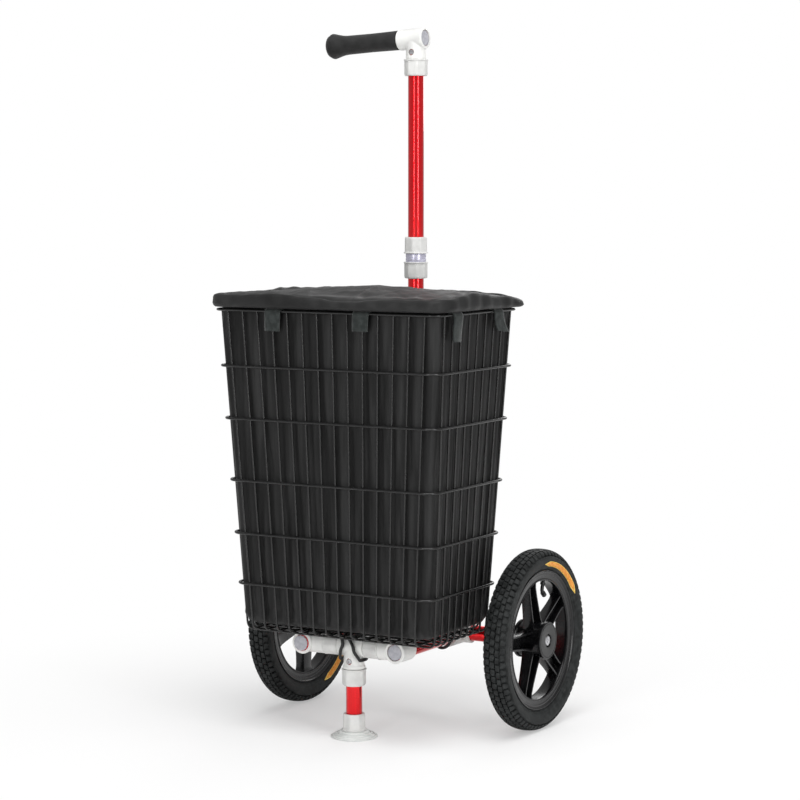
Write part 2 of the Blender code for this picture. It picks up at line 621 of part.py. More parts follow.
def build_handle(paint, nylon, ivory, plug, steel, foam):
    axis = Vector((0, AXLE_Y, HANDLE_Z))
    stem_end = axis - Z * HANDLE_STEM
    spigot_end = stem_end - Z * SPIGOT_LENGTH
    screw_at = axis - Z * (TEE_R + HANDLE_SCREW_DROP)
    far_end = axis - GRIP_DIRECTION * ELBOW_FAR
    near_end = axis + GRIP_DIRECTION * ELBOW_NEAR
    connector("handle_elbow", nylon,
              [(far_end, near_end, TEE_R), (axis, stem_end, STEM_R), (axis, spigot_end, SPIGOT_R)],
              [(far_end - GRIP_DIRECTION * OVERRUN, near_end + GRIP_DIRECTION * OVERRUN, BORE_R),
               (axis, spigot_end - Z * OVERRUN, BORE_R)],
              [stem_screw_hole(screw_at)])
    screw("handle_screw", stem_screw_seat(screw_at), -Y, steel)
    nut("handle_nut", stem_end - Z * GAP, -Z, ivory)
    along = frame_at(axis, GRIP_DIRECTION)
    bar_start = -ELBOW_FAR + 2 * GAP + CAP_THICK + GAP
    grip_start = ELBOW_NEAR + GAP
    grip_end = ELBOW_NEAR + GRIP_LENGTH
    bar_end = grip_end - GRIP_DOME - GRIP_WALL
    bore = TUBE_R - TUBE_WALL
    turned("handle_bar", [(TUBE_R, bar_end), (TUBE_R, bar_start), (bore, bar_start), (bore, bar_end)],
           along, paint)
    cap_face = -ELBOW_FAR + 2 * GAP
    plug_r = bore - GAP
    edge_r = TUBE_R - GAP
    turned("handle_cap",
           [(0, cap_face + CAP_DEPTH), (plug_r, cap_face + CAP_DEPTH), (plug_r, cap_face + CAP_THICK),
            (edge_r, cap_face + CAP_THICK), (edge_r, cap_face + CAP_EDGE), (TUBE_R - CAP_EDGE, cap_face),
            (0, cap_face)],
           along, plug, TUBE_SIDES, closed=False)
    flare_start = grip_end - GRIP_FLARE
    rim = grip_end - GRIP_DOME
    pocket = bar_end + GAP
    turned("grip",
           [(0, grip_end), (GRIP_FLARE_R * 0.55, grip_end - 0.0012), (GRIP_FLARE_R * 0.86, grip_end - 0.0040),
            (GRIP_FLARE_R, rim), (GRIP_FLARE_R - 0.0015, rim - 0.0060), (GRIP_R, flare_start),
            (GRIP_R, grip_start), (BORE_R, grip_start), (BORE_R, pocket), (0, pocket)],
           along, foam, BODY_SIDES, closed=False)


def basket_half(z):
    """Half width and half depth of the hoops' centre line at a height."""
    share = (z - LOW_WIRE_Z) / BASKET_HEIGHT
    return (FLOOR_HALF_X + (RIM_HALF_X - FLOOR_HALF_X) * share,
            FLOOR_HALF_Y + (RIM_HALF_Y - FLOOR_HALF_Y) * share)


def rounded_loop(half_x, half_y, corner, z, steps):
    """Points round a rectangle with round corners, centred on the basket."""
    points = []
    for quarter in range(4):
        sx = 1 if quarter in (0, 3) else -1
        sy = 1 if quarter in (0, 1) else -1
        centre = Vector((sx * (half_x - corner), BASKET_Y + sy * (half_y - corner), z))
        for step in range(steps + 1):
            angle = (quarter + step / steps) * pi / 2
            points.append(centre + corner * Vector((cos(angle), sin(angle), 0)))
    return points


def wire_mesh(name, points, radius, cyclic):
    """A bent wire as a welded mesh, made from a curve with a round bevel."""
    curve = bpy.data.curves.new(name, "CURVE")
    curve.dimensions = "3D"
    curve.bevel_depth = radius
    curve.bevel_resolution = 1
    curve.use_fill_caps = not cyclic
    curve.twist_mode = "Z_UP" if cyclic else "MINIMUM"
    spline = curve.splines.new("POLY")
    spline.points.add(len(points) - 1)
    for knot, point in zip(spline.points, points):
        knot.co = (*point, 1.0)
    spline.use_cyclic_u = cyclic
    carrier = bpy.data.objects.new(name, curve)
    CUTTERS.objects.link(carrier)
    bpy.context.view_layer.update()
    depsgraph = bpy.context.evaluated_depsgraph_get()
    mesh = bpy.data.meshes.new_from_object(carrier.evaluated_get(depsgraph))
    bpy.data.objects.remove(carrier)
    bpy.data.curves.remove(curve)
    shape = bmesh.new()
    shape.from_mesh(mesh)
    bmesh.ops.remove_doubles(shape, verts=shape.verts, dist=0.00001)
    bmesh.ops.recalc_face_normals(shape, faces=shape.faces)
    shape.to_mesh(mesh)
    shape.free()
    return mesh


def joined(name, meshes):
    """One mesh that holds several separate closed shells."""
    shape = bmesh.new()
    for mesh in meshes:
        shape.from_mesh(mesh)
    whole = bpy.data.meshes.new(name)
    shape.to_mesh(whole)
    shape.free()
    for mesh in meshes:
        bpy.data.meshes.remove(mesh)
    return whole


def upright_points(spread_rim, spread_floor, reach, floor_z, proud, swap):
    """A wire down one wall, under the floor and up the other; reach(z) is the wall's distance out."""
    inset = HOOP_R + WIRE_R + GAP - proud
    top_z = RIM_Z + HOOP_R / 2
    bend_z = floor_z + BEND_R
    half = []
    side_top = spread_rim
    side_bend = spread_floor
    half.append((side_top, reach(RIM_Z) - inset, top_z))
    wall = reach(bend_z) - inset
    for step in range(3):
        angle = step * pi / 4
        half.append((side_bend, wall - BEND_R * (1 - cos(angle)), bend_z - BEND_R * sin(angle)))
    whole = [(s, -r, z) for s, r, z in half] + [(s, r, z) for s, r, z in reversed(half)]
    if swap:
        return [Vector((r, BASKET_Y + s, z)) for s, r, z in whole]
    return [Vector((s, BASKET_Y + r, z)) for s, r, z in whole]


def spread(count):
    return [2 * i / (count - 1) - 1 for i in range(count)]


def build_basket(coating):
    hoops = []
    for height in [LOW_HOOP] + [share * BASKET_HEIGHT for share in HOOP_SHARES]:
        z = LOW_WIRE_Z + height
        half_x, half_y = basket_half(z)
        if height == BASKET_HEIGHT:
            half_x -= GAP + WELD
            half_y -= GAP + WELD
        hoops.append(wire_mesh("hoop", rounded_loop(half_x, half_y, CORNER_R, z, 3), HOOP_R, True))
    uprights = []
    for number, u in enumerate(spread(UPRIGHTS_X)):
        proud = GAP + WELD if number in WELDED_UPRIGHTS else 0.0
        path = upright_points(u * (RIM_HALF_X - UPRIGHT_MARGIN_X), u * (FLOOR_HALF_X - UPRIGHT_MARGIN_X),
                              lambda z: basket_half(z)[1], TOP_WIRE_Z, proud, False)
        uprights.append(wire_mesh("upright", path, WIRE_R, False))
    for v in spread(UPRIGHTS_Y):
        path = upright_points(v * (RIM_HALF_Y - UPRIGHT_MARGIN_Y), v * (FLOOR_HALF_Y - UPRIGHT_MARGIN_Y),
                              lambda z: basket_half(z)[0], LOW_WIRE_Z, 0.0, True)
        uprights.append(wire_mesh("upright", path, WIRE_R, False))
    basket = add_object("wire_basket", joined("wire_basket", uprights), Matrix.Identity(4), PARTS, coating)
    rings = add_object("basket_hoops", joined("basket_hoops", hoops), Matrix.Identity(4), CUTTERS)
    combine(basket, rings, "UNION")


def cloth_inset():
    """How far the bag's outer face lies inside the hoops' centre line."""
    return HOOP_R + 2 * WIRE_R + GAP + BAG_CLEAR


def shell(name, rings, thickness, surface, close_start, close_end):
    """A lofted open surface given a wall by Solidify, inwards from the rings."""
    shape = bmesh.new()
    levels = [[shape.verts.new(point) for point in ring] for ring in rings]
    add_loft_faces(shape, levels, close_start, close_end)
    mesh = bpy.data.meshes.new(name)
    shape.to_mesh(mesh)
    shape.free()
    smooth(mesh)
    obj = add_object(name, mesh, Matrix.Identity(4), PARTS if surface else CUTTERS, surface)
    wall = obj.modifiers.new("Wall", "SOLIDIFY")
    wall.thickness = thickness
    wall.offset = -1
    wall.use_even_offset = True
    return obj


def tab_mesh(centre, outward, rim_reach, bag_reach):
    """A hook-and-loop tab: from the bag's edge over the rim wire and down outside it."""
    outer = rim_reach + HOOP_R + GAP
    profile = [(bag_reach - CLOTH * 0.6, TAB_TOP_Z), (bag_reach - CLOTH * 0.6, TAB_TOP_Z - CLOTH),
               (outer, TAB_TOP_Z - CLOTH), (outer, RIM_Z - TAB_DROP), (outer + CLOTH, RIM_Z - TAB_DROP),
               (outer + CLOTH, TAB_TOP_Z)]
    along = Z.cross(outward)
    shape = bmesh.new()
    rings = []
    for edge in (-TAB_WIDTH / 2, TAB_WIDTH / 2):
        rings.append([shape.verts.new(centre + outward * reach + along * edge + Z * z) for reach, z in profile])
    add_loft_faces(shape, rings, True, True)
    bmesh.ops.recalc_face_normals(shape, faces=shape.faces)
    mesh = bpy.data.meshes.new("tab")
    shape.to_mesh(mesh)
    shape.free()
    return mesh


def build_bag(cloth):
    inset = cloth_inset()
    rings = []
    for rise, draw in ((0.0, BAG_ROUND), (BAG_ROUND * 0.13, BAG_ROUND * 0.5), (BAG_ROUND * 0.5, BAG_ROUND * 0.13),
                       (BAG_ROUND, 0.0)):
        z = BAG_FLOOR_Z + rise
        half_x, half_y = basket_half(z)
        rings.append(rounded_loop(half_x - inset - draw, half_y - inset - draw, CORNER_R - 0.002, z, 3))
    half_x, half_y = basket_half(TAB_TOP_Z)
    rings.append(rounded_loop(half_x - inset, half_y - inset, CORNER_R - 0.002, TAB_TOP_Z, 3))
    bag = shell("liner_bag", rings, CLOTH, cloth, close_start=True, close_end=False)
    tabs = []
    middle = Vector((0, BASKET_Y, 0))
    for offset in (-TAB_X, TAB_X):
        for sign in (-1, 1):
            tabs.append(tab_mesh(middle + X * offset, sign * Y, RIM_HALF_Y - GAP - WELD, half_y - inset))
    for offset in (-TAB_Y, TAB_Y):
        for sign in (-1, 1):
            tabs.append(tab_mesh(middle + Y * offset, sign * X, RIM_HALF_X - GAP - WELD, half_x - inset))
    combine(bag, add_object("bag_tabs", joined("bag_tabs", tabs), Matrix.Identity(4), CUTTERS), "UNION")


def lid_shell(name, surface):
    base = TAB_TOP_Z + GAP
    top = base + LID_HEM
    levels = ((base, -LID_FLANGE), (base, LID_OVERHANG - 0.0030), (base + LID_HEM * 0.28, LID_OVERHANG),
              (base + LID_HEM * 0.72, LID_OVERHANG), (top, LID_OVERHANG - 0.0035),
              (top + 0.0015, -LID_FLANGE - 0.0060), (top + LID_CROWN * 0.55, -0.0550), (top + LID_CROWN, -0.1000))
    rings = []
    for z, out in levels:
        corner = max(CORNER_R + out, 0.0080)
        rings.append(rounded_loop(RIM_HALF_X + out, RIM_HALF_Y + out, corner, z, 4))
    return shell(name, rings, LID_CLOTH, surface, close_start=False, close_end=True)


def box(name, low, high):
    mesh = bpy.data.meshes.new(name)
    shape = bmesh.new()
    bmesh.ops.create_cube(shape, size=1.0)
    centre = (Vector(low) + Vector(high)) / 2
    size = Vector(high) - Vector(low)
    for corner in shape.verts:
        corner.co = Vector((corner.co.x * size.x, corner.co.y * size.y, corner.co.z * size.z))
    shape.to_mesh(mesh)
    shape.free()
    return add_object(name, mesh, Matrix.Translation(centre), CUTTERS)


def build_lid(cloth):
    fold_y = BASKET_Y + RIM_HALF_Y - LID_FOLD
    clear = LID_OVERHANG + LID_FOLD + LID_HEM + LID_CROWN
    low = Vector((-RIM_HALF_X - clear, fold_y, RIM_Z - clear))
    high = Vector((RIM_HALF_X + clear, fold_y + clear, RIM_Z + clear))
    lid = lid_shell("lid", cloth)
    combine(lid, box("lid_rear_cut", low, high), "DIFFERENCE")
    strip = lid_shell("lid_rear_strip", cloth)
    kept = box("lid_strip_cut", low + Y * 2 * GAP, high)
    combine(strip, kept, "INTERSECT")


def loop_band(name, points, surface):
    mesh = wire_mesh(name, points, TIE_R, True)
    smooth(mesh)
    add_object(name, mesh, Matrix.Identity(4), PARTS, surface)


def arc(centre, radius, start, end, steps):
    """Points along an arc, as (across, up) pairs about a centre."""
    points = []
    for step in range(steps + 1):
        angle = radians(start + (end - start) * step / steps)
        points.append((centre[0] + radius * cos(angle), centre[1] + radius * sin(angle)))
    return points


def build_ties(nylon):
    """Straps that hold the basket: each goes over one floor wire and round a tube or a stem."""
    wire_step = 2 * (FLOOR_HALF_X - UPRIGHT_MARGIN_X) / (UPRIGHTS_X - 1)
    wire_up = TOP_WIRE_Z - AXLE_Z
    over_wire = WIRE_R + TIE_R + 2 * GAP
    round_tube = TUBE_R + TIE_R + 3 * GAP
    tie_y = AXLE_Y - REAR_REACH - TIE_SETBACK
    for side, label in ((-1, "left"), (1, "right")):
        wire_across = side * (FLOOR_HALF_X - UPRIGHT_MARGIN_X - 3 * wire_step - RAIL_X)
        loop = arc((0, 0), round_tube, 170, 430, 9) if side > 0 else arc((0, 0), round_tube, 110, 370, 9)
        loop += arc((wire_across, wire_up), over_wire, -10, 190, 5)
        loop_band(f"rail_tie_{label}", [Vector((side * RAIL_X + x, tie_y, AXLE_Z + z)) for x, z in loop], nylon)
    hook = -wire_step / 2
    front = TEE_R + TIE_R + 3 * GAP
    under = -front
    over = [Vector((x, -0.0130 - (wire_up + over_wire - z) * 0.3, z))
            for x, z in arc((hook, wire_up), over_wire, -10, 190, 5)]
    side_run = [Vector((0.0085, -front, 0.0060)), Vector((0.0125, -front, -0.0060)),
                Vector((0.0165, -0.0125, under + 0.0020))]
    behind = [Vector((x, y, under)) for x, y in arc((0, 0), STEM_R + TIE_R + 3 * GAP, -30, 210, 9)]
    back_up = [Vector((-point.x, point.y, point.z)) for point in reversed(side_run)]
    middle = Vector((0, LEG_Y, AXLE_Z))
    loop_band("leg_tie", [middle + point for point in side_run + behind + back_up + list(reversed(over))], nylon)


def build():
    global PARTS, CUTTERS
    clear_scene()
    PARTS = new_collection("bicycle_trailer")
    CUTTERS = new_collection("cutters")
    surfaces = make_materials()
    red = surfaces["anodised_red"]
    white = surfaces["white_nylon"]
    ivory = surfaces["ivory_nylon"]
    grey = surfaces["grey_plug"]
    steel = surfaces["zinc_steel"]
    black = surfaces["black_nylon"]
    rubber = surfaces["tyre_rubber"]
    build_rails(red, white, grey)
    build_cross(red, white, ivory, steel, surfaces["foot_vinyl"])
    build_axle(red, white, ivory, steel)
    for side, label in ((-1, "left"), (1, "right")):
        build_wheel(side, label, rubber, black, steel)
    build_mast(red, ivory, surfaces["bare_aluminium"], grey)
    build_handle(red, white, ivory, grey, steel, surfaces["grip_foam"])
    build_basket(surfaces["coated_wire"])
    build_bag(surfaces["bag_cloth"])
    build_lid(surfaces["bag_cloth"])
    build_ties(black)


build()
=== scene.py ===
"""The dressed bicycle trailer: fine meshes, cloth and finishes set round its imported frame.

Metres, +Z up, +X to the right wheel, -Y to the foot, ground at z = 0.
"""
import json
from math import acos, atan2, cos, degrees, exp, hypot, pi, radians, sin

import bmesh
import bpy
from mathutils import Matrix, Vector, noise

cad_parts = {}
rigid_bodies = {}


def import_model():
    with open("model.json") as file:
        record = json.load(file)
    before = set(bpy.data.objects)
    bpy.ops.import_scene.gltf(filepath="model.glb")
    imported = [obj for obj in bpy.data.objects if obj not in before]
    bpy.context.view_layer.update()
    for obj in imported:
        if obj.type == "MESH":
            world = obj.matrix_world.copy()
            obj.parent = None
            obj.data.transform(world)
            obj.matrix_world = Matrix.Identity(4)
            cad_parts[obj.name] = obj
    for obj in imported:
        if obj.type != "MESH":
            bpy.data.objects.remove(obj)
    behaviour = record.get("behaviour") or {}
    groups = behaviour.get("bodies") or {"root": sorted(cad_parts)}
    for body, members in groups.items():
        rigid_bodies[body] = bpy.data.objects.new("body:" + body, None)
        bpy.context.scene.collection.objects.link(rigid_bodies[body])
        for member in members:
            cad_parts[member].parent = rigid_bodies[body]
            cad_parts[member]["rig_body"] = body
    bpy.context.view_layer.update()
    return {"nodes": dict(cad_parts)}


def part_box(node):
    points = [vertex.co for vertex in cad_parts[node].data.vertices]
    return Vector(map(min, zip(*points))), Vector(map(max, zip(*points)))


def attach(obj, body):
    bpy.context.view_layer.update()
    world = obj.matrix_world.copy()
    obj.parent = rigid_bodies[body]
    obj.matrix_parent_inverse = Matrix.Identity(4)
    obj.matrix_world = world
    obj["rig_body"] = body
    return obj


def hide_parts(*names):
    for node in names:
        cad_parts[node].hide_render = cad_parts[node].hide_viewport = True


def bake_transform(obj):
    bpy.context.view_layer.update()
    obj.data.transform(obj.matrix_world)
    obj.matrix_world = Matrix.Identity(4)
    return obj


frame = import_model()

X = Vector((1, 0, 0))
Y = Vector((0, 1, 0))
Z = Vector((0, 0, 1))
SIDES = ((-1, "left"), (1, "right"))

# Studio
LENS = 110.02              # mm on a 36 mm sensor
CAMERA_PLACE = (1.95513, -3.29849, 0.85279)
CAMERA_TARGET = (0, 0.02362, 0.51351)
WORLD_LIGHT = 0.42
MIRRORED_WHITE = 0.12      # share of the white surroundings that glossy surfaces mirror
FLOOR_GLOW = 0.35          # floor's own white under the object; further out it is all white
FLOOR_COLOUR = "#fbfbfb"
# Softboxes: azimuth (0 in front, 90 on the right), distance, height, height aimed at, width, height, watts.
LAMPS = (
    ("softbox_left", 4, 3.2, 1.15, 0.6, 0.5, 2.2, 20), ("softbox_right", 64, 3.2, 1.15, 0.6, 0.5, 2.2, 33),
    ("overhead", 40, 1.2, 3.2, 0.3, 2.2, 2.2, 62), ("rear_fill", 190, 3.0, 1.8, 0.5, 1.6, 1.6, 22))

# Frame
AXLE_Y = 0.07355
AXLE_Z = 0.1425
LEG_Y = -0.11645
RAIL_X = 0.0838
TUBE_R = 0.0125
TUBE_BORE_R = 0.0110
BORE_R = 0.0130
GAP = 0.0003
TEE_R = 0.0165
CLAMP_R = 0.0175
STEM_R = 0.0160
SPIGOT_R = 0.0150
SPIGOT_LENGTH = 0.0140
STEM_LENGTH = 0.0380
LEG_STEM_LENGTH = 0.0350
STEM_FLARE = 0.0018        # how much a stem widens at its mouth
TEE_HALF = 0.0230
SCREW_DROP = 0.0225
SCREW_HOLE_R = 0.0050
SCREW_REACH = 0.0300       # length of a screw hole's cutter
OVERRUN = 0.0100           # how far a bore's cutter runs past its end
CLAMP_LENGTH = 0.0400
CLAMP_FLARE = 0.0007
RAIL_FRONT = 0.0196
CAP_PROUD = 0.0045         # how far the left rail's cap stands out of its connector
CAP_COLLAR = 0.0023        # tube's end behind its cap's face
REAR_REACH = 0.0460
REAR_HALF = 0.0210
NUT_R = 0.0188
NUT_LENGTH = 0.0260
NUT_FLANGE_R = 0.0195
NUT_TURN = radians(11)
CROSS_NUT_R = 0.0170
CROSS_NUT_FLANGE_R = 0.0173
COUPLER_Z = 0.7373
BAND_LENGTH = 0.0130
BAND_R = 0.0162
GROOVE_R = 0.0158          # the band's ends and the groove round its middle
COLLAR_Z = 0.0108

# Handle
HANDLE_Z = 1.082607
DROOP = radians(3)
GRIP_WAY = Vector((-cos(DROOP), 0, -sin(DROOP)))
HANDLE = Vector((0, AXLE_Y, HANDLE_Z))
ELBOW_FAR = 0.0175
ELBOW_NEAR = 0.0288
HANDLE_STEM = 0.0320
HANDLE_SCREW = 0.0050      # screw below the elbow's barrel
BAR_SETBACK = 0.0029       # bar's end behind the elbow's
GRIP_R = 0.0152
GRIP_FLARE_R = 0.0202
GRIP_LENGTH = 0.1340
GRIP_FLARE = 0.0330
GRIP_DOME = 0.0090

# Wheels
TRACK_HALF = 0.2155
TREAD_DEPTH = 0.0036
TREAD_PITCHES = 76
TREAD_END = 0.0222         # tread's edge, running from the tyre's middle line
RIM_R = 0.1100
RIM_HALF_WIDTH = 0.0140
RIM_BARREL_R = 0.0930
RIM_WELL_R = 0.0985
BEAD_SEAT_R = 0.1030
HUB_R = 0.0296
HUB_INNER = 0.0255
HUB_OUTER = 0.0245
SPOKES = 5
SPOKE_WALL = 0.0032
SPOKE_PHASE = {1: radians(32), -1: radians(-90)}
VALVE_TURN = {1: radians(72), -1: radians(90)}
VALVE_TWIST = radians(90)
BOLT_FACE = 0.0239
BOLT_SEAT = 0.0187
LABEL_MIDDLE = {1: radians(60), -1: radians(42)}
LABEL_HALF = radians(30.5)
LABEL_EDGE = radians(3.2)
# The label's layers: finish, inner and outer radius, lift off the sidewall.
LABEL_LAYERS = (("ink_edge", 0.1160, 0.1238, 0.00025), ("ink", 0.1168, 0.1230, 0.00045))

# Wire basket
BASKET_Y = -0.07995
LOW_WIRE_Z = 0.1620
TOP_WIRE_Z = 0.1657
RIM_Z = 0.6620
BASKET_HEIGHT = 0.5000
RIM_HALF_X = 0.2009
RIM_HALF_Y = 0.1251
FLOOR_HALF_X = 0.1714
FLOOR_HALF_Y = 0.1026
CORNER_R = 0.0220
HOOP_R = 0.0020
WIRE_R = 0.0017
BEND_R = 0.01125
HOOP_SHARES = (0.149, 0.307, 0.472, 0.664, 0.827, 1.0)
WIRE_INSET = 0.0036        # uprights' centre lines inside the hoops' centre lines
MARGIN_X = 0.0265
MARGIN_Y = 0.0225
PANELS_X = 13              # spaces between the uprights of the front, and of a side
PANELS_Y = 8

# Cloth
BAG_INSET = 0.0067
BAG_FLOOR_Z = 0.1735
BAG_ROUND = 0.0110
BAG_TOP_Z = 0.6658
CLOTH = 0.0015
THREAD = 0.0022            # the cloth's 0.4 mm threads, drawn coarser so that they show
FLOOR_STEPS = 10
WALL_STEPS = 84
TAB_WIDTH = 0.0280
TAB_CLOTH = 0.0012
TAB_OUT = 0.0034           # a tab's hanging part in front of the rim wire's middle
LID_BASE_Z = 0.6661
LID_TOP = 0.0190           # the hem's upper edge above its base
LID_PEAK = 0.0130
LID_SHIFT = 0.0032         # the loose lid has slid to the right
LID_CLOTH = 0.0016
LID_STEPS = 44

# Straps
TIE_R = 0.0025
TIE_SETBACK = 0.0175
TIE_WIRE = 3               # the rail straps hold the fourth upright from each side
LEG_TIE_Y = -0.0130        # leg strap's top from the leg's axis
LEG_TIE_LEAN = 0.3


# Small tools

def linear(code):
    """An sRGB hex colour as linear RGBA."""
    levels = [int(code[i:i + 2], 16) / 255 for i in (1, 3, 5)]
    return [v / 12.92 if v <= 0.04045 else ((v + 0.055) / 1.055) ** 2.4 for v in levels] + [1.0]


def add_node(tree, kind, settings=None, links=None):
    """Adds a shader node: settings by property or socket, links by socket, each a (node, output)."""
    node = tree.nodes.new("ShaderNode" + kind)
    for key, value in (settings or {}).items():
        if key == "stops":
            for element, (place, colour) in zip(node.color_ramp.elements, value):
                element.position = place
                element.color = colour
        elif isinstance(key, int) or key in node.inputs:
            node.inputs[key].default_value = value
        else:
            setattr(node, key, value)
    for key, (source, output) in (links or {}).items():
        tree.links.new(source.outputs[output], node.inputs[key])
    return node


def placed(centre, axis, twist=0.0):
    """A placement whose local Z runs along the axis."""
    ez = Vector(axis).normalized()
    reference = X if abs(ez.y) > 0.9 or abs(ez.z) > 0.9 else Y
    ex = (reference - ez * reference.dot(ez)).normalized()
    turn = Matrix((ex, ez.cross(ex), ez)).transposed().to_4x4()
    return Matrix.Translation(centre) @ turn @ Matrix.Rotation(twist, 4, "Z")


def rounded(points, radius, steps=3, closed=False):
    """Corner points eased by short curves of about the given radius."""
    points = [Vector(p) for p in points]
    eased = []
    for i, corner in enumerate(points):
        if not closed and i in (0, len(points) - 1):
            eased.append(corner)
            continue
        before = points[i - 1] - corner
        after = points[(i + 1) % len(points)] - corner
        start = corner + before.normalized() * min(radius, before.length * 0.45)
        end = corner + after.normalized() * min(radius, after.length * 0.45)
        for step in range(steps + 1):
            t = step / steps
            eased.append(start * (1 - t) ** 2 + corner * 2 * t * (1 - t) + end * t * t)
    return eased


def curve_at(a, b, c, d, t):
    """A point between b and c on a smooth line through four points."""
    return 0.5 * (2 * b + (c - a) * t + (2 * a - 5 * b + 4 * c - d) * t ** 2
                  + (3 * b - a - 3 * c + d) * t ** 3)


def from_mm(pairs, radius=0.0, height=0.0):
    """Points of a profile in millimetres from a radius and a height in metres."""
    return [(radius + r / 1000, height + h / 1000) for r, h in pairs]


def mirrored(half):
    return [(r, -h) for r, h in reversed(half)]


def held(value):
    """A value kept between nought and one."""
    return min(1.0, max(0.0, value))


def bell(distance, width):
    return exp(-(distance / width) ** 2)


def ripple(point, width, depth, layer, shift=(0, 0)):
    """Noise over a plane in waves of about width by depth metres."""
    return noise.noise(Vector((point.x / width + shift[0], point.y / depth + shift[1], layer)))


def bridge(shape, low, high):
    """Quads, or triangles at a point, between two rings."""
    count = max(len(low), len(high))
    for i in range(count):
        j = (i + 1) % count
        if len(low) == 1:
            shape.faces.new((low[0], high[j], high[i]))
        elif len(high) == 1:
            shape.faces.new((low[i], low[j], high[0]))
        else:
            shape.faces.new((low[i], low[j], high[j], high[i]))


def loft(rings, shape=None, closed=False, ends=False):
    """Adds faces between rings of points; a ring of one point is a tip."""
    shape = shape or bmesh.new()
    levels = [[shape.verts.new(p) for p in ring] for ring in rings]
    for low, high in zip(levels, levels[1:] + (levels[:1] if closed else [])):
        bridge(shape, low, high)
    if ends:
        shape.faces.new(list(reversed(levels[0])))
        if len(levels[-1]) > 1:
            shape.faces.new(levels[-1])
    return shape


def strip(rows):
    """A sheet of quads through rows of points."""
    shape = bmesh.new()
    lines = [[shape.verts.new(p) for p in row] for row in rows]
    for low, high in zip(lines, lines[1:]):
        for k in range(len(low) - 1):
            shape.faces.new((low[k], low[k + 1], high[k + 1], high[k]))
    return shape


def lathe(profile, sides=48, closed=False, shape=None):
    """Adds a profile of (radius, height) points turned round Z."""
    angles = [2 * pi * i / sides for i in range(sides)]
    rings = [[(r * cos(a), r * sin(a), h) for a in angles] if r else [(0, 0, h)] for r, h in profile]
    return loft(rings, shape, closed)


def swept(points, radius, sides=12, cyclic=False, shape=None):
    """Adds a round wire that follows the points."""
    shape = shape or bmesh.new()
    angles = [2 * pi * k / sides for k in range(sides)]
    count = len(points)
    across = None
    rings = []
    for i, point in enumerate(points):
        before = points[i - 1] if i or cyclic else point
        after = points[(i + 1) % count] if i < count - 1 or cyclic else point
        along = (after - before).normalized()
        across = across or along.orthogonal()
        across = (across - along * across.dot(along)).normalized()
        up = along.cross(across)
        rings.append([shape.verts.new(point + radius * (cos(a) * across + sin(a) * up)) for a in angles])
    for low, high in zip(rings, rings[1:]):
        bridge(shape, low, high)
    if cyclic:
        last = rings[-1][0].co
        turn = min(range(sides), key=lambda k: (rings[0][k].co - last).length)
        bridge(shape, rings[-1], rings[0][turn:] + rings[0][:turn])
    else:
        shape.faces.new(list(reversed(rings[0])))
        shape.faces.new(rings[-1])
    return shape


def creased(mesh, sharp):
    """Smooth shading with sharp edges above an angle in degrees."""
    mesh.shade_smooth()
    mesh.set_sharp_from_angle(angle=radians(sharp))
    return mesh


def to_mesh(name, shape, sharp=35):
    mesh = bpy.data.meshes.new(name)
    bmesh.ops.recalc_face_normals(shape, faces=shape.faces)
    shape.to_mesh(mesh)
    shape.free()
    return creased(mesh, sharp)


def add_object(name, mesh, placement=None):
    made = bpy.data.objects.new(name, mesh)
    bpy.context.scene.collection.objects.link(made)
    made.matrix_world = placement or Matrix.Identity(4)
    return made


def settled(made):
    """Applies an object's modifiers to its mesh."""
    bpy.context.view_layer.update()
    seen = made.evaluated_get(bpy.context.evaluated_depsgraph_get())
    mesh = bpy.data.meshes.new_from_object(seen)
    made.modifiers.clear()
    old = made.data
    made.data = mesh
    mesh.name = made.name
    bpy.data.meshes.remove(old)
    return made


def thicken(made, thickness, offset=-1):
    """Gives a sheet its wall, behind its face or to both sides of it."""
    wall = made.modifiers.new("wall", "SOLIDIFY")
    wall.thickness = thickness
    wall.offset = offset


def changed(body, tools, operation):
    """Joins solids, each (shape, placement), to a body or cuts them out of it."""
    helpers = []
    for number, (shape, place) in enumerate(tools):
        tool = add_object(f"{body.name}_tool_{number}", to_mesh("tool", shape), place)
        change = body.modifiers.new("change", "BOOLEAN")
        change.operation = operation
        change.solver = "EXACT"
        change.object = tool
        helpers.append(tool)
    settled(body)
    for tool in helpers:
        bpy.data.objects.remove(tool)
    return body


def worked(name, first, joined):
    """One solid from several, each (shape, placement)."""
    shape, place = first
    return changed(add_object(name, to_mesh(name, shape), place), joined, "UNION")


def coated(made, surface):
    made.data.materials.clear()
    made.data.materials.append(surface)
    return made


def dressed(made, surface, *nodes):
    """Gives a piece its finish and lets it stand for its CAD nodes."""
    coated(made, surface)
    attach(made, frame["nodes"][nodes[0]]["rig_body"])
    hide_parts(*nodes)
    return made


def piece(name, shape, placement, surface, *nodes, sharp=35):
    return dressed(add_object(name, to_mesh(name, shape, sharp), placement), surface, *nodes)


# Camera, light and floor

def set_camera():
    data = bpy.data.cameras.new("camera")
    data.lens = LENS
    data.sensor_width = 36
    data.clip_start = 0.1
    data.clip_end = 60
    camera = add_object("camera", data)
    place = Vector(CAMERA_PLACE)
    camera.location = place
    camera.rotation_euler = (Vector(CAMERA_TARGET) - place).to_track_quat("-Z", "Y").to_euler()
    bpy.context.scene.camera = camera


def white_seen(tree):
    """A factor that is one for camera and glass rays and less for mirrored ones."""
    path = add_node(tree, "LightPath")
    dimmed = add_node(tree, "Math", {"operation": "MULTIPLY", 1: MIRRORED_WHITE},
                      {0: (path, "Is Glossy Ray")})
    both = add_node(tree, "Math", {"operation": "MAXIMUM"}, {0: (path, "Is Camera Ray"), 1: (dimmed, 0)})
    return add_node(tree, "Math", {"operation": "MAXIMUM"}, {0: (both, 0), 1: (path, "Is Transmission Ray")})


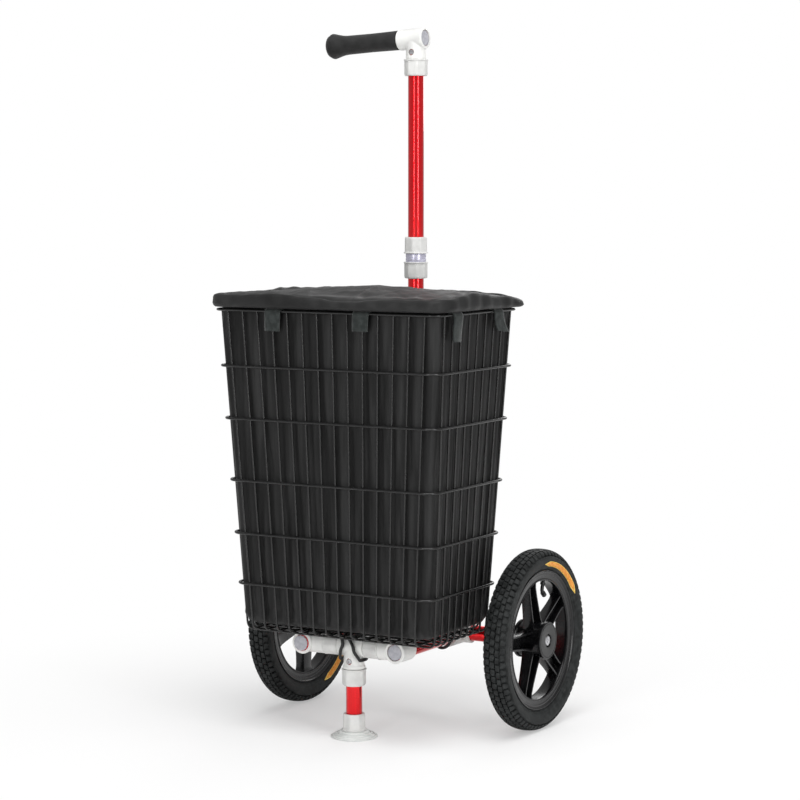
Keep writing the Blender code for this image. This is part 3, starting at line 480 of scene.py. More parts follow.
def set_world():
    world = bpy.data.worlds.new("studio")
    bpy.context.scene.world = world
    world.use_nodes = True
    tree = world.node_tree
    tree.nodes.clear()
    dim = add_node(tree, "Background", {"Color": linear("#ffffff"), "Strength": WORLD_LIGHT})
    white = add_node(tree, "Background", {"Color": linear("#ffffff"), "Strength": 1.0})
    mixed = add_node(tree, "MixShader", {}, {0: (white_seen(tree), 0), 1: (dim, 0), 2: (white, 0)})
    add_node(tree, "OutputWorld", {}, {"Surface": (mixed, 0)})


def set_floor():
    """A pale floor that takes shadows near the object and turns white further out."""
    shape = bmesh.new()
    bmesh.ops.create_grid(shape, x_segments=1, y_segments=1, size=14)
    floor = add_object("floor", to_mesh("floor", shape))
    surface = bpy.data.materials.new("pale_floor")
    surface.use_nodes = True
    tree = surface.node_tree
    tree.nodes.clear()
    where = add_node(tree, "TexCoord")
    reach = add_node(tree, "VectorMath", {"operation": "LENGTH"}, {0: (where, "Object")})
    share = add_node(tree, "MapRange", {"interpolation_type": "SMOOTHSTEP", "From Min": 0.15,
                                        "From Max": 1.0, "To Min": FLOOR_GLOW}, {"Value": (reach, "Value")})
    both = add_node(tree, "Math", {"operation": "MULTIPLY"}, {0: (share, 0), 1: (white_seen(tree), 0)})
    paint = add_node(tree, "BsdfDiffuse", {"Color": linear(FLOOR_COLOUR)})
    glow = add_node(tree, "Emission", {"Color": linear("#ffffff"), "Strength": 1.0})
    mixed = add_node(tree, "MixShader", {}, {0: (both, 0), 1: (paint, 0), 2: (glow, 0)})
    add_node(tree, "OutputMaterial", {}, {"Surface": (mixed, 0)})
    floor.data.materials.append(surface)


def add_lamp(name, azimuth, distance, height, aim_z, wide, tall, power):
    data = bpy.data.lights.new(name, "AREA")
    data.shape = "RECTANGLE"
    data.size = wide
    data.size_y = tall
    data.energy = power
    lamp = add_object(name, data)
    turn = radians(azimuth)
    lamp.location = (distance * sin(turn), -distance * cos(turn), height)
    aim = Vector((0, 0, aim_z)) - lamp.location
    lamp.rotation_euler = aim.to_track_quat("-Z", "Y").to_euler()


# Finishes


def finish(name, slot, colour, roughness, metallic=0.0, **sockets):
    """A new material with its Principled shader; the sockets' names have _ for a space."""
    made = bpy.data.materials.new(name)
    made.use_nodes = True
    made.diffuse_color = linear(colour)
    tree = made.node_tree
    shader = tree.nodes["Principled BSDF"]
    values = {"Base Color": linear(colour), "Roughness": roughness, "Metallic": metallic}
    values.update({key.replace("_", " "): value for key, value in sockets.items()})
    for key, value in values.items():
        shader.inputs[key].default_value = value
    return made, tree, shader


def speckle(tree, size, detail=2.0, stretch=(1, 1, 1)):
    """Noise whose spots are about size metres, longer along a stretched axis."""
    where = add_node(tree, "TexCoord")
    scaled = add_node(tree, "Mapping", {"Scale": [1 / (size * s) for s in stretch]},
                      {"Vector": (where, "Object")})
    return add_node(tree, "TexNoise", {"Scale": 1.0, "Detail": detail}, {"Vector": (scaled, 0)}), 0


def varied(tree, shader, cloud, tint, gloss=(), relief=(), height=None, ends=(0.35, 0.65)):
    """Lets a cloud vary colour and roughness; relief is its depth in metres and its strength."""
    ramp = add_node(tree, "ValToRGB", {"stops": [(ends[0], linear(tint[0])), (ends[1], linear(tint[1]))]},
                    {"Fac": cloud})
    tree.links.new(ramp.outputs["Color"], shader.inputs["Base Color"])
    if gloss:
        dull = add_node(tree, "MapRange", {"From Min": 0.3, "From Max": 0.7, "To Min": gloss[0],
                                           "To Max": gloss[1]}, {"Value": cloud})
        tree.links.new(dull.outputs[0], shader.inputs["Roughness"])
    if relief:
        bump = add_node(tree, "Bump", {"Distance": relief[0], "Strength": relief[1]},
                        {"Height": height or cloud})
        tree.links.new(bump.outputs[0], shader.inputs["Normal"])


def clouded(name, slot, colour, roughness, metallic, cloud, tint, gloss=(), relief=(), grain=(), **sockets):
    """A finish that varies with a cloud; its relief is the grain's, or else the cloud's."""
    made, tree, shader = finish(name, slot, colour, roughness, metallic, **sockets)
    height = speckle(tree, *grain) if grain else None
    varied(tree, shader, speckle(tree, *cloud), tint, gloss, relief, height)
    return made


def make_cloth(name, low, high, stretch):
    """Oxford weave: crossed threads, a low gloss, and painted shade and light in streaks along the folds'
    way.
    """
    made, tree, shader = finish(name, "bag_cloth", low, 0.6, Specular_IOR_Level=0.3,
                                Sheen_Weight=0.04, Sheen_Roughness=0.4)
    where = add_node(tree, "TexCoord")
    threads = {"wave_type": "BANDS", "Scale": 1 / (THREAD * 6.28) * 2, "Distortion": 0.4, "Detail": 1.0}
    warp, weft = [add_node(tree, "TexWave", {**threads, "bands_direction": way}, {"Vector": (where, "UV")})
                  for way in ("X", "Y")]
    weave = add_node(tree, "Math", {"operation": "MULTIPLY"}, {0: (warp, "Fac"), 1: (weft, "Fac")})
    # The stretched cloud paints fold shade and light as streaks between the dark low colour and the lighter
    # high one.
    varied(tree, shader, speckle(tree, 0.017, 4.0, stretch), (low, high), (0.62, 0.46), (0.0003, 0.3),
           (weave, 0), (0.42, 0.62))
    return made


def make_finishes():
    made = {}
    # Aluminium tube, drawn, anodised and dyed: the metal shines red through the dyed layer and its gloss.
    made["red"] = clouded(
        "anodised_red_aluminium", "red_tube", "#e4000e", 0.24, 0.85, (0.001, 3.0, (1, 1, 120)),
        ("#dc000c", "#ec0010"), (0.14, 0.20), Coat_Weight=0.6, Coat_Roughness=0.04, Coat_IOR=1.5)
    # Moulded nylon: a soft satin white with a fine grain and slightly greyer flow marks.
    made["white"] = clouded(
        "moulded_white_nylon", "white_connector", "#e8e8e6", 0.42, 0, (0.022, 3.0), ("#dededc", "#ecece9"),
        (0.36, 0.48), (0.00008, 0.35), (0.0007, 2.0), Specular_IOR_Level=0.45)
    # The nuts' nylon is a little warmer and greyer, with a coarser spark-eroded grain for grip.
    made["ivory"] = clouded(
        "moulded_ivory_nylon", "ivory_nut", "#d6d6d4", 0.5, 0, (0.016, 3.0), ("#cfcfcd", "#dcdcda"), (),
        (0.0001, 0.5), (0.0009, 2.0), Specular_IOR_Level=0.4)
    # Polyethylene plugs: dull lilac grey, a waxy low gloss.
    made["plug"] = clouded(
        "moulded_grey_polyethylene", "grey_plug", "#adadb4", 0.5, 0, (0.006, 3.0), ("#a2a2aa", "#b9b9bf"),
        (), (0.0001, 0.4))
    # Turned aluminium, clear anodised: bright, cool, with fine tool rings round it.
    made["sleeve"] = clouded(
        "turned_clear_aluminium", "silver_sleeve", "#d0cee0", 0.3, 0.5, (0.0005, 2.0, (60, 60, 1)),
        ("#c4c2d4", "#e2e0f2"), (0.24, 0.36), (0.00002, 0.4))
    # Bright zinc on steel: pale metal with a slightly crystalline, uneven gloss.
    made["zinc"] = clouded(
        "bright_zinc_steel", "zinc_steel", "#c3c3c6", 0.32, 1.0, (0.002, 3.0), ("#b0b0b4", "#d2d2d4"),
        (0.24, 0.42))
    # Vulcanised tyre rubber: near-black with a grey bloom, dull, a fine moulded grain.
    made["rubber"] = clouded(
        "vulcanised_tyre_rubber", "tyre", "#191b1b", 0.62, 0, (0.008, 5.0), ("#141616", "#2f3131"),
        (0.54, 0.72), (0.00015, 0.4), (0.0009, 2.0), Specular_IOR_Level=0.22)
    # Screen-printed band on the sidewall: orange ink that thins to yellow, bare of any lettering.
    made["ink"] = clouded(
        "orange_sidewall_ink", "tyre", "#e08a26", 0.5, 0, (0.0035, 4.0), ("#d87f1e", "#f0a640"), (),
        (0.0001, 0.3))
    made["ink_edge"] = clouded(
        "yellow_sidewall_ink", "tyre", "#efc752", 0.5, 0, (0.0025, 4.0), ("#e2b53a", "#f8d978"))
    # Valve rubber: smoother and blacker than the tyre.
    made["valve"] = clouded(
        "moulded_valve_rubber", "valve_rubber", "#161616", 0.45, 0, (0.0012, 2.0), ("#101010", "#1e1e1e"),
        (), (0.00008, 0.4))
    # Glass-filled nylon rim: black semi-gloss, with the faint orange peel of a polished mould.
    made["rim"] = clouded(
        "moulded_black_rim_nylon", "black_rim", "#080809", 0.24, 0, (0.02, 3.0), ("#070708", "#0e0e10"),
        (0.18, 0.30), (0.00005, 0.5), (0.003, 2.0), Specular_IOR_Level=0.4)
    # Closed-cell foam: deep matt black-grey, skin of fine pores, slight sheen at grazing light.
    made["foam"] = clouded(
        "closed_cell_grip_foam", "grip_foam", "#262626", 0.85, 0, (0.018, 3.0), ("#1c1c1c", "#282828"), (),
        (0.0003, 0.6), (0.0012, 3.0), Specular_IOR_Level=0.25, Sheen_Weight=0.15, Sheen_Roughness=0.5)
    # Steel wire dipped in black vinyl: smooth, dark and glossy, with small thick runs.
    made["wire"] = clouded(
        "vinyl_dipped_wire", "basket_wire", "#101010", 0.26, 0, (0.03, 2.0), ("#0b0b0b", "#141414"),
        (0.22, 0.28), Specular_IOR_Level=0.5)
    # Each cloth's two colours are the dark and light ends of its painted fold shade.
    made["cloth"] = make_cloth("woven_oxford_polyester", "#060606", "#1d1d1d", (0.7, 0.7, 14))
    made["lid_cloth"] = make_cloth("woven_lid_polyester", "#141414", "#232323", (6, 3, 3))
    # Looped nylon webbing: coarse, slightly green grey-black, with a thick pile.
    made["tab"] = clouded(
        "looped_nylon_webbing", "bag_cloth", "#2b2f2e", 0.9, 0, (0.008, 3.0), ("#262a29", "#373b3a"), (),
        (0.0006, 0.8), (0.0016, 3.0), Specular_IOR_Level=0.2, Sheen_Weight=0.25, Sheen_Roughness=0.4)
    # Soft vinyl foot: milky, a little light passes through its thin edge.
    made["foot"] = clouded(
        "milky_soft_vinyl", "foot_vinyl", "#e9ebe9", 0.34, 0, (0.012, 3.0), ("#e2e5e2", "#f1f3f1"),
        (0.32, 0.46), Transmission_Weight=0.2, IOR=1.5)
    # Woven nylon strap pulled tight into a round cord: black with a slight silk gloss.
    made["strap"] = clouded(
        "woven_nylon_strap", "strap", "#121212", 0.5, 0, (0.001, 2.0), ("#0b0b0b", "#1c1c1c"), (),
        (0.0002, 0.6))
    return made


# Frame pieces

def on_rail(side, y):
    """A point of a rail's axis."""
    return Vector((side * RAIL_X, y, AXLE_Z))


def cap_front(side):
    return on_rail(side, LEG_Y - RAIL_FRONT + 2 * GAP - (CAP_PROUD if side < 0 else 0.0))


def draw_tube(node, start, length, way, red):
    """A round tube with eased edges."""
    profile = rounded([(TUBE_R, 0), (TUBE_R, length), (TUBE_BORE_R, length), (TUBE_BORE_R, 0)], GAP, 2, True)
    piece(f"{node}_drawn", lathe(profile, 48, True), placed(start, way), red, node)


def build_tubes(red):
    for side, node in ((-1, "rail_left"), (1, "rail_right")):
        start = cap_front(side) + Y * CAP_COLLAR
        end = on_rail(side, AXLE_Y - TUBE_R - 4 * GAP)
        draw_tube(node, start, (end - start).length, Y, red)
    for node in ("cross_tube", "leg_tube", "axle_tube", "mast_lower", "mast_upper"):
        low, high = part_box(node)
        size = high - low
        longest = max(range(3), key=lambda i: size[i])
        axis = (X, Y, Z)[longest]
        draw_tube(node, (low + high) / 2 - axis * size[longest] / 2, size[longest], axis, red)
    start = HANDLE + GRIP_WAY * (-ELBOW_FAR + BAR_SETBACK)
    length = ELBOW_FAR - BAR_SETBACK + ELBOW_NEAR + GRIP_LENGTH - GRIP_DOME - 0.0020
    draw_tube("handle_bar", start, length, GRIP_WAY, red)


def solid_barrel(start, end, radius, flare=0.0):
    """A round bar with eased ends; a flare widens its last few millimetres."""
    length = (end - start).length
    profile = [(0, 0), (radius, 0), (radius, length), (0, length)]
    if flare:
        wide = radius + flare
        profile[2:3] = [(radius, length - 0.0065), (wide, length - 0.0035), (wide, length)]
    return lathe(rounded(profile, 0.0012, 3), 56), placed(start, end - start)


def plain_barrel(start, end, radius):
    length = (end - start).length
    return lathe([(0, 0), (radius, 0), (radius, length), (0, length)], 56), placed(start, end - start)


def moulding(surface, node, barrels, bores, seams=()):
    """Barrels run together with the soft fillets of a mould, then bored."""
    body = worked(f"{node}_moulding", solid_barrel(*barrels[0]), [solid_barrel(*b) for b in barrels[1:]])
    melt = body.modifiers.new("melt", "REMESH")
    melt.mode = "VOXEL"
    melt.voxel_size = 0.0007
    soft = body.modifiers.new("soft", "SMOOTH")
    soft.iterations = 7
    soft.factor = 0.5
    settled(body)
    changed(body, [plain_barrel(*b) for b in bores] + list(seams), "DIFFERENCE")
    creased(body.data, 38)
    dressed(body, surface, node)


def block(low, high):
    """A plain block as a cutting tool."""
    shape = bmesh.new()
    bmesh.ops.create_cube(shape, size=1.0)
    for corner in shape.verts:
        corner.co = [(a + b) / 2 + co * (b - a) for a, b, co in zip(Vector(low), Vector(high), corner.co)]
    return shape


def build_connectors(white):
    front = LEG_Y - RAIL_FRONT
    for side, label in SIDES:
        cross = on_rail(side, LEG_Y)
        inward = -side * X
        branch_end = cross + inward * (RAIL_X - TEE_HALF - NUT_LENGTH - 2 * GAP)
        start, end = on_rail(side, front), on_rail(side, front + CLAMP_LENGTH)
        seam = block((side * (CLAMP_R - 0.0012), -CLAMP_LENGTH - 0.002, -0.0005),
                     (side * 0.03, 0.002, 0.0004))
        moulding(white, f"front_tee_{label}",
                 [(end, start, CLAMP_R - CLAMP_FLARE, CLAMP_FLARE), (cross, branch_end, TEE_R),
                  (cross, branch_end + inward * SPIGOT_LENGTH, SPIGOT_R)],
                 [(start - Y * OVERRUN, end + Y * OVERRUN, BORE_R),
                  (cross, branch_end + inward * (SPIGOT_LENGTH + OVERRUN), BORE_R)],
                 [(seam, Matrix.Translation(end))])
        axle = on_rail(side, AXLE_Y)
        past = X * (REAR_HALF + OVERRUN)
        moulding(white, f"rear_tee_{label}",
                 [(axle - X * REAR_HALF, axle + X * REAR_HALF, TEE_R),
                  (axle, axle - Y * REAR_REACH, CLAMP_R)],
                 [(axle - past, axle + past, BORE_R), (axle, axle - Y * (REAR_REACH + OVERRUN), BORE_R)])
    # Barrels with a stem: axis, the stem's way and length, the barrel's way and ends, screw's drop, flare.
    for node, axis, way, length, along, back, ahead, drop, flare in (
            ("leg_tee", Vector((0, LEG_Y, AXLE_Z)), -Z, LEG_STEM_LENGTH, X, TEE_HALF, TEE_HALF, SCREW_DROP,
             STEM_FLARE),
            ("mast_tee", Vector((0, AXLE_Y, AXLE_Z)), Z, STEM_LENGTH, X, TEE_HALF, TEE_HALF, SCREW_DROP,
             STEM_FLARE),
            ("handle_elbow", HANDLE, -Z, HANDLE_STEM, GRIP_WAY, ELBOW_FAR, ELBOW_NEAR, TEE_R + HANDLE_SCREW,
             0.0)):
        screw_at = axis + way * drop
        thread_end = length + SPIGOT_LENGTH
        moulding(white, node,
                 [(axis - along * back, axis + along * ahead, TEE_R),
                  (axis, axis + way * length, STEM_R, flare), (axis, axis + way * thread_end, SPIGOT_R)],
                 [(axis - along * (back + OVERRUN), axis + along * (ahead + OVERRUN), BORE_R),
                  (axis, axis + way * (thread_end + OVERRUN), BORE_R),
                  (screw_at, screw_at - Y * SCREW_REACH, SCREW_HOLE_R)])


def flatted(radius, angle, flats, corner):
    """Distance to the edge of a polygon whose corners are cut by a circle."""
    step = 2 * pi / flats
    turn = (angle % step) - step / 2
    return min(radius * cos(step / 2) / cos(turn), radius * corner)


def nut_shape(radius, flange_r, flats, depth=SPIGOT_LENGTH):
    """Flanged mouth at the origin, then long flats, then a lip that closes on the tube."""
    length = NUT_LENGTH
    bore, mouth_r = TUBE_R + 0.0004, SPIGOT_R + GAP
    seat = depth + 0.0008
    # Radius, height, and how round the section is there.
    profile = [(flange_r - 0.0004, 0.0, 1), (flange_r, 0.0004, 1), (flange_r, 0.0014, 1),
               (flange_r - 0.0003, 0.0018, 1), (radius + 0.0001, 0.0019, 1), (radius, 0.0026, 0),
               (radius, length - 0.0032, 0), (radius - 0.0004, length - 0.0014, 0),
               (radius - 0.0012, length - 0.0004, 0.3), (radius - 0.0022, length, 1),
               (bore + 0.0006, length, 1), (bore, length - 0.0006, 1), (bore, seat, 1), (mouth_r, seat, 1),
               (mouth_r, 0.0, 1)]
    sides = flats * 8
    rings = []
    for r, h, roundness in profile:
        ring = []
        for k in range(sides):
            angle = 2 * pi * k / sides
            reach = r * roundness + flatted(r, angle, flats, 0.985) * (1 - roundness)
            ring.append((reach * cos(angle), reach * sin(angle), h))
        rings.append(ring)
    return loft(rings, closed=True)


def build_nuts(ivory):
    middle = Vector((0, LEG_Y, AXLE_Z))
    for side, label in SIDES:
        mouth = middle + X * side * (TEE_HALF + NUT_LENGTH + GAP)
        piece(f"cross_nut_{label}_moulding", nut_shape(CROSS_NUT_R, CROSS_NUT_FLANGE_R, 12),
              placed(mouth, -side * X), ivory, f"cross_nut_{label}", sharp=30)
    axis = Vector((0, AXLE_Y, 0))
    half = BAND_LENGTH / 2 + GAP
    for node, mouth, way in (
            ("leg_nut", middle - Z * (LEG_STEM_LENGTH + GAP), -Z),
            ("mast_nut", axis + Z * (AXLE_Z + STEM_LENGTH + GAP), Z),
            ("coupler_nut_upper", axis + Z * (COUPLER_Z + half), Z),
            ("coupler_nut_lower", axis + Z * (COUPLER_Z - half), -Z),
            ("handle_nut", axis + Z * (HANDLE_Z - HANDLE_STEM - GAP), -Z)):
        piece(f"{node}_moulding", nut_shape(NUT_R, NUT_FLANGE_R, 8), placed(mouth, way, NUT_TURN),
              ivory, node, sharp=30)


def build_small_parts(made):
    """Screws with their sockets, the tubes' plugs with a notched edge, and the coupler's sleeve."""
    seat = BORE_R + GAP
    head = from_mm([(0, -2.2), (1.9, -2), (2.2, -0.6), (3.4, -0.6), (3.9, -1.2)], 0, STEM_R - seat - GAP)
    for node, z, y in (("leg_screw", AXLE_Z - SCREW_DROP, LEG_Y),
                       ("mast_screw", AXLE_Z + SCREW_DROP, AXLE_Y),
                       ("handle_screw", HANDLE_Z - TEE_R - HANDLE_SCREW, AXLE_Y)):
        piece(f"{node}_head", lathe(head + [(0.0040, 0), (0, 0)], 24), placed(Vector((0, y - seat, z)), -Y),
              made["zinc"], node)
    edge = TUBE_R - GAP
    plug = (from_mm([(0, 0.6), (5, 0.5), (8, 0.1)]) + from_mm([(-1.2, 0), (-0.2, 0.4), (0, 1), (0, 2)], edge)
            + [(TUBE_BORE_R - GAP, 0.0021), (TUBE_BORE_R - 0.0006, 0.0100), (0, 0.0100)])
    cap_at = HANDLE - GRIP_WAY * (ELBOW_FAR - 2 * GAP)
    for node, place in (("handle_cap", placed(cap_at, GRIP_WAY)),
                        ("rail_cap_left", placed(cap_front(-1), Y)),
                        ("rail_cap_right", placed(cap_front(1), Y))):
        shape = lathe(plug, 96)
        for vert in shape.verts:
            if hypot(vert.co.x, vert.co.y) > edge - 0.0014 and vert.co.z < 0.0021:
                notch = 1 - 0.10 * max(0.0, cos(14 * atan2(vert.co.y, vert.co.x)) - 0.35)
                vert.co = Vector((vert.co.x * notch, vert.co.y * notch, vert.co.z))
        piece(f"{node}_plug", shape, place, made["plug"], node)
    half = BAND_LENGTH / 2
    thread = half + GAP + SPIGOT_LENGTH
    upper = [(GROOVE_R, 0.0006), (BAND_R, 0.0010), (BAND_R, half - 0.0006), (GROOVE_R, half),
             (SPIGOT_R, half), (SPIGOT_R, thread)]
    sleeve = mirrored(upper) + upper + [(BORE_R, thread), (BORE_R, -thread)]
    piece("coupler_sleeve_turned", lathe(sleeve, 56, True), placed(Vector((0, AXLE_Y, COUPLER_Z)), Z),
          made["sleeve"], "coupler_sleeve")


def build_grip(foam):
    start = ELBOW_NEAR + GAP
    end = ELBOW_NEAR + GRIP_LENGTH
    rim = end - GRIP_DOME
    flare = end - GRIP_FLARE
    wide = GRIP_FLARE_R
    profile = [(0, end), (wide * 0.30, end - 0.0004), (wide * 0.58, end - 0.0018),
               (wide * 0.84, end - 0.0045), (wide * 0.97, rim), (wide, rim - 0.0018),
               (wide - 0.0003, rim - 0.0040),
               (GRIP_R + 0.0022, rim - 0.0135), (GRIP_R + 0.0007, flare + 0.0035), (GRIP_R, flare - 0.004),
               (GRIP_R - 0.0004, (start + flare) / 2), (GRIP_R + 0.0001, start + 0.010),
               (GRIP_R + 0.0002, start + 0.0008), (GRIP_R - 0.0006, start), (BORE_R, start),
               (BORE_R, rim - 0.0015), (0, rim - 0.0015)]
    piece("grip_foam_sleeve", lathe(profile, 64), placed(HANDLE, GRIP_WAY), foam, "grip", sharp=50)


def build_foot(made):
    """A stepped vinyl disc with a neck inside the collar on the leg."""
    ground = Vector((0, LEG_Y, 0))
    disc = from_mm([(0, 0), (35, 0), (36.5, 0.8), (36.5, 2.2), (35.6, 3), (33.6, 3), (32.8, 4.8),
                    (31.4, 5.2), (30.6, 4.2), (28.8, 4.6), (28, 6.8), (26.6, 7.2), (25.8, 6.2), (24, 6.8),
                    (23, 9.8), (21.6, 10.4), (15, 10.6), (15, 26.2), (13.1, 26.4), (13.1, 10.6), (0, 10.5)])
    piece("foot_disc", lathe(disc, 72), placed(ground, Z), made["foot"], "foot", sharp=28)
    piece("leg_collar_moulding", nut_shape(NUT_R - 0.0004, NUT_FLANGE_R, 8, 0.0160),
          placed(ground + Z * COLLAR_Z, Z, NUT_TURN), made["ivory"], "leg_collar", sharp=30)


# Wheels

def spline(points, steps):
    """A smooth line through (radius, height) points."""
    knots = [Vector(p) for p in points]
    line = []
    for i in range(len(knots) - 1):
        four = knots[max(i - 1, 0)], knots[i], knots[i + 1], knots[min(i + 2, len(knots) - 1)]
        line += [curve_at(*four, step / steps) for step in range(steps)]
    return line + [knots[-1]]


TYRE_HALF = spline(from_mm([(142.5, 0), (142.1, 6.6), (140.6, 12.6), (137.2, 17), (132.5, 19.5), (126.8, 20),
                            (120.5, 18.6), (115, 15.5), (111.2, 12)]), 6)


def tyre_table():
    """Running distance, point and outward normal along the half section."""
    table = []
    run = 0.0
    for i, point in enumerate(TYRE_HALF):
        if i:
            run += (point - TYRE_HALF[i - 1]).length
        along = TYRE_HALF[min(i + 1, len(TYRE_HALF) - 1)] - TYRE_HALF[max(i - 1, 0)]
        table.append((run, point, Vector((along.y, -along.x)).normalized()))
    return table


def lifted(low, high, t, lift):
    """A place between two rows of the tyre's table, lifted off the surface."""
    return low[1].lerp(high[1], t) + low[2].lerp(high[2], t).normalized() * lift


def on_tyre(table, angle, across, lift):
    """A point of the tyre, across metres from its middle line and lifted off its surface."""
    far = abs(across)
    for low, high in zip(table, table[1:]):
        if far <= high[0]:
            break
    place = lifted(low, high, min(1.0, (far - low[0]) / (high[0] - low[0])), lift)
    return Vector((place.x * cos(angle), place.x * sin(angle), place.y if across >= 0 else -place.y))


# Tread blocks of one pitch: (along the tread in pitches, across in mm), one side of the tyre's middle.
MIDDLE_BLOCK = [(0.04, -3.0), (0.66, -4.4), (0.90, -2.6), (0.96, 3.0), (0.34, 4.4), (0.10, 2.6)]
SIDE_BLOCKS = [
    [(0.42, 5.9), (1.24, 4.9), (1.36, 11.3), (0.54, 12.3)],
    [(0.10, 13.6), (0.92, 12.6), (0.84, 22.6), (0.26, 22.6)],
]


def tread_block(shape, table, corners):
    """One block: a draughted wall and a top that follows the tyre."""
    middle = Vector((sum(c[0] for c in corners), sum(c[1] for c in corners))) / len(corners)
    outline = [Vector(a).lerp(Vector(b), t) for a, b in zip(corners, corners[1:] + corners[:1])
               for t in (0.04, 0.5, 0.96)]
    pitch = 2 * pi / TREAD_PITCHES
    rings = []
    for share, lift in ((1.0, -TREAD_DEPTH - 0.0004), (0.96, -0.0003), (0.92, 0.0), (0.5, 0.0)):
        rings.append([on_tyre(table, (middle.x + (p.x - middle.x) * share) * pitch,
                              (middle.y + (p.y - middle.y) * share) * 0.001, lift) for p in outline])
    rings.append([on_tyre(table, middle.x * pitch, middle.y * 0.001, 0.0)])
    loft(rings, shape, ends=True)


def tyre_shape():
    """A carcass with two fine ridges on each sidewall, and the tread's blocks on it."""
    table = tyre_table()
    carcass = []
    for run, point, normal in table:
        sink = TREAD_DEPTH * (1.0 - held((run - TREAD_END) / 0.003))
        ridge = 0.0005 if 0.0398 < run < 0.0414 or 0.0450 < run < 0.0462 else 0.0
        carcass.append((point - normal * (sink - ridge)).to_tuple())
    inner = from_mm([(103.3, 11.2), (103.3, 6.8), (112, 10), (126.5, 15.5), (135.5, 9), (137, 0)])
    shape = lathe(mirrored(carcass[1:]) + carcass + inner + mirrored(inner[:-1]), 144, True)
    for pitch in range(TREAD_PITCHES):
        tread_block(shape, table, [(u + pitch, v) for u, v in MIDDLE_BLOCK])
        for corners in SIDE_BLOCKS:
            tread_block(shape, table, [(u + pitch, v) for u, v in corners])
            tread_block(shape, table, [(-u + 1 + pitch, -v) for u, v in corners])
    return shape


def band_shape(start, end, inner_r, outer_r, lift, face):
    """A printed arc on the sidewall between two radii, with pointed ends; face is 1 outside, -1 inside."""
    table = [row for row in tyre_table() if row[1].x < 0.1340]
    middle, half = (inner_r + outer_r) / 2, (outer_r - inner_r) / 2
    steps = 64
    rows = []
    for i in range(steps + 1):
        angle = start + (end - start) * i / steps
        near_end = min(i, steps - i) / steps * abs(end - start) * middle
        width = half * min(1.0, near_end / (half * 4)) ** 0.8
        row = []
        for k in range(7):
            radius = middle + width * (k / 3 - 1)
            best = min(range(len(table) - 1), key=lambda j: abs(table[j][1].x - radius))
            if radius > table[best][1].x and best:
                best -= 1
            low, high = table[best:best + 2]
            place = lifted(low, high, (radius - low[1].x) / (high[1].x - low[1].x), lift)
            row.append((place.x * cos(angle), place.x * sin(angle), face * place.y))
        rows.append(row)
    shape = strip(rows)
    bmesh.ops.remove_doubles(shape, verts=shape.verts, dist=0.00002)
    return shape


def rim_ring():
    half = (from_mm([(-0.9, 0), (0, -0.7), (0, -2.5)], RIM_R, RIM_HALF_WIDTH)
            + from_mm([(0, -2.5), (0, -7.6)], BEAD_SEAT_R, RIM_HALF_WIDTH) + [(RIM_WELL_R, 0.0040)])
    barrel = from_mm([(0, 6), (0.1, 9.8), (0.7, 11), (1.8, 11.6), (3, 11.4), (4, 10.8), (12.8, 11.6),
                      (14, 12.4), (15, 13.8)], RIM_BARREL_R)
    return lathe(half + mirrored(half) + mirrored(barrel) + barrel, 128, True)


def hub_shape():
    """A hub with a ringed outer face, two bearing pockets and a bore."""
    profile = (from_mm([(10.6, -5.8), (10, -1), (10.6, -0.2), (12, 0)], 0, HUB_OUTER)
               + from_mm([(-4.2, 0), (-3.8, -0.6), (-3, -0.6), (-2.6, 0), (-1.2, 0), (-0.2, -0.8), (0, -2),
                          (0, -5), (-1, -6.2), (-2.2, -7)], HUB_R, HUB_OUTER)
               + from_mm([(-2.2, 7), (-1, 6.2), (0, 5), (0, 1.6), (-1.6, 0)], HUB_R, -HUB_INNER)
               + from_mm([(13.6, 0), (13.6, 9.3), (8.6, 9.3)], 0, -HUB_INNER)
               + from_mm([(8.6, -14.6), (13.6, -14.6), (13.6, -5.8)], 0, HUB_OUTER))
    return lathe(profile, 72, True)


# Radius, width and half depth along a spoke.
SPOKE_ROWS = ((0.0225, 0.0300, 0.0092), (0.0300, 0.0282, 0.0088), (0.0450, 0.0262, 0.0080),
              (0.0700, 0.0236, 0.0074), (0.0840, 0.0230, 0.0074), (0.0900, 0.0240, 0.0080),
              (0.0930, 0.0256, 0.0088), (0.0952, 0.0272, 0.0094))


def spoke_shape(phase):
    """Tapered channels, open to the outside, that widen into the rim and the hub."""
    shape = bmesh.new()
    for number in range(SPOKES):
        turn = Matrix.Rotation(phase + number * 2 * pi / SPOKES, 4, "Z")
        rings = []
        for radius, width, top in SPOKE_ROWS:
            edge, low = width / 2, -top - 0.0012
            lip, floor = edge - SPOKE_WALL, low + SPOKE_WALL + 0.003
            section = rounded([(-edge, low), (edge, low), (edge, top), (lip, top), (lip, floor),
                               (-lip, floor), (-lip, top), (-edge, top)], 0.0009, 2, True)
            rings.append([turn @ Vector((radius, p.x, p.y)) for p in section])
        loft(rings, shape, ends=True)
    return shape


def valve_shape():
    """A bent rubber valve: straight out of the rim, then hooked over to its cap; Z points to the tyre."""
    foot = from_mm([(0, 1.8), (3.7, 1.8), (3.8, 0.3), (2.7, 0)], 0, RIM_WELL_R)
    shape = lathe(foot + [(0.0027, 0.0900), (0, 0.0900)], 24)
    line = [Vector((0, 0, 0.0905)), Vector((0, 0, 0.0772)), Vector((0.0072, 0, 0.0738))]
    bent = rounded(line, 0.005, 6)
    swept(bent, 0.0029, 16, False, shape)
    swept([bent[0], bent[0] - Z * 0.0034], 0.0042, 20, False, shape)
    way = (bent[-1] - bent[-2]).normalized()
    cap = [bent[-1] - way * 0.0030, bent[-1] - way * 0.0026, bent[-1] + way * 0.0040]
    return swept(cap, 0.0040, 20, False, shape)


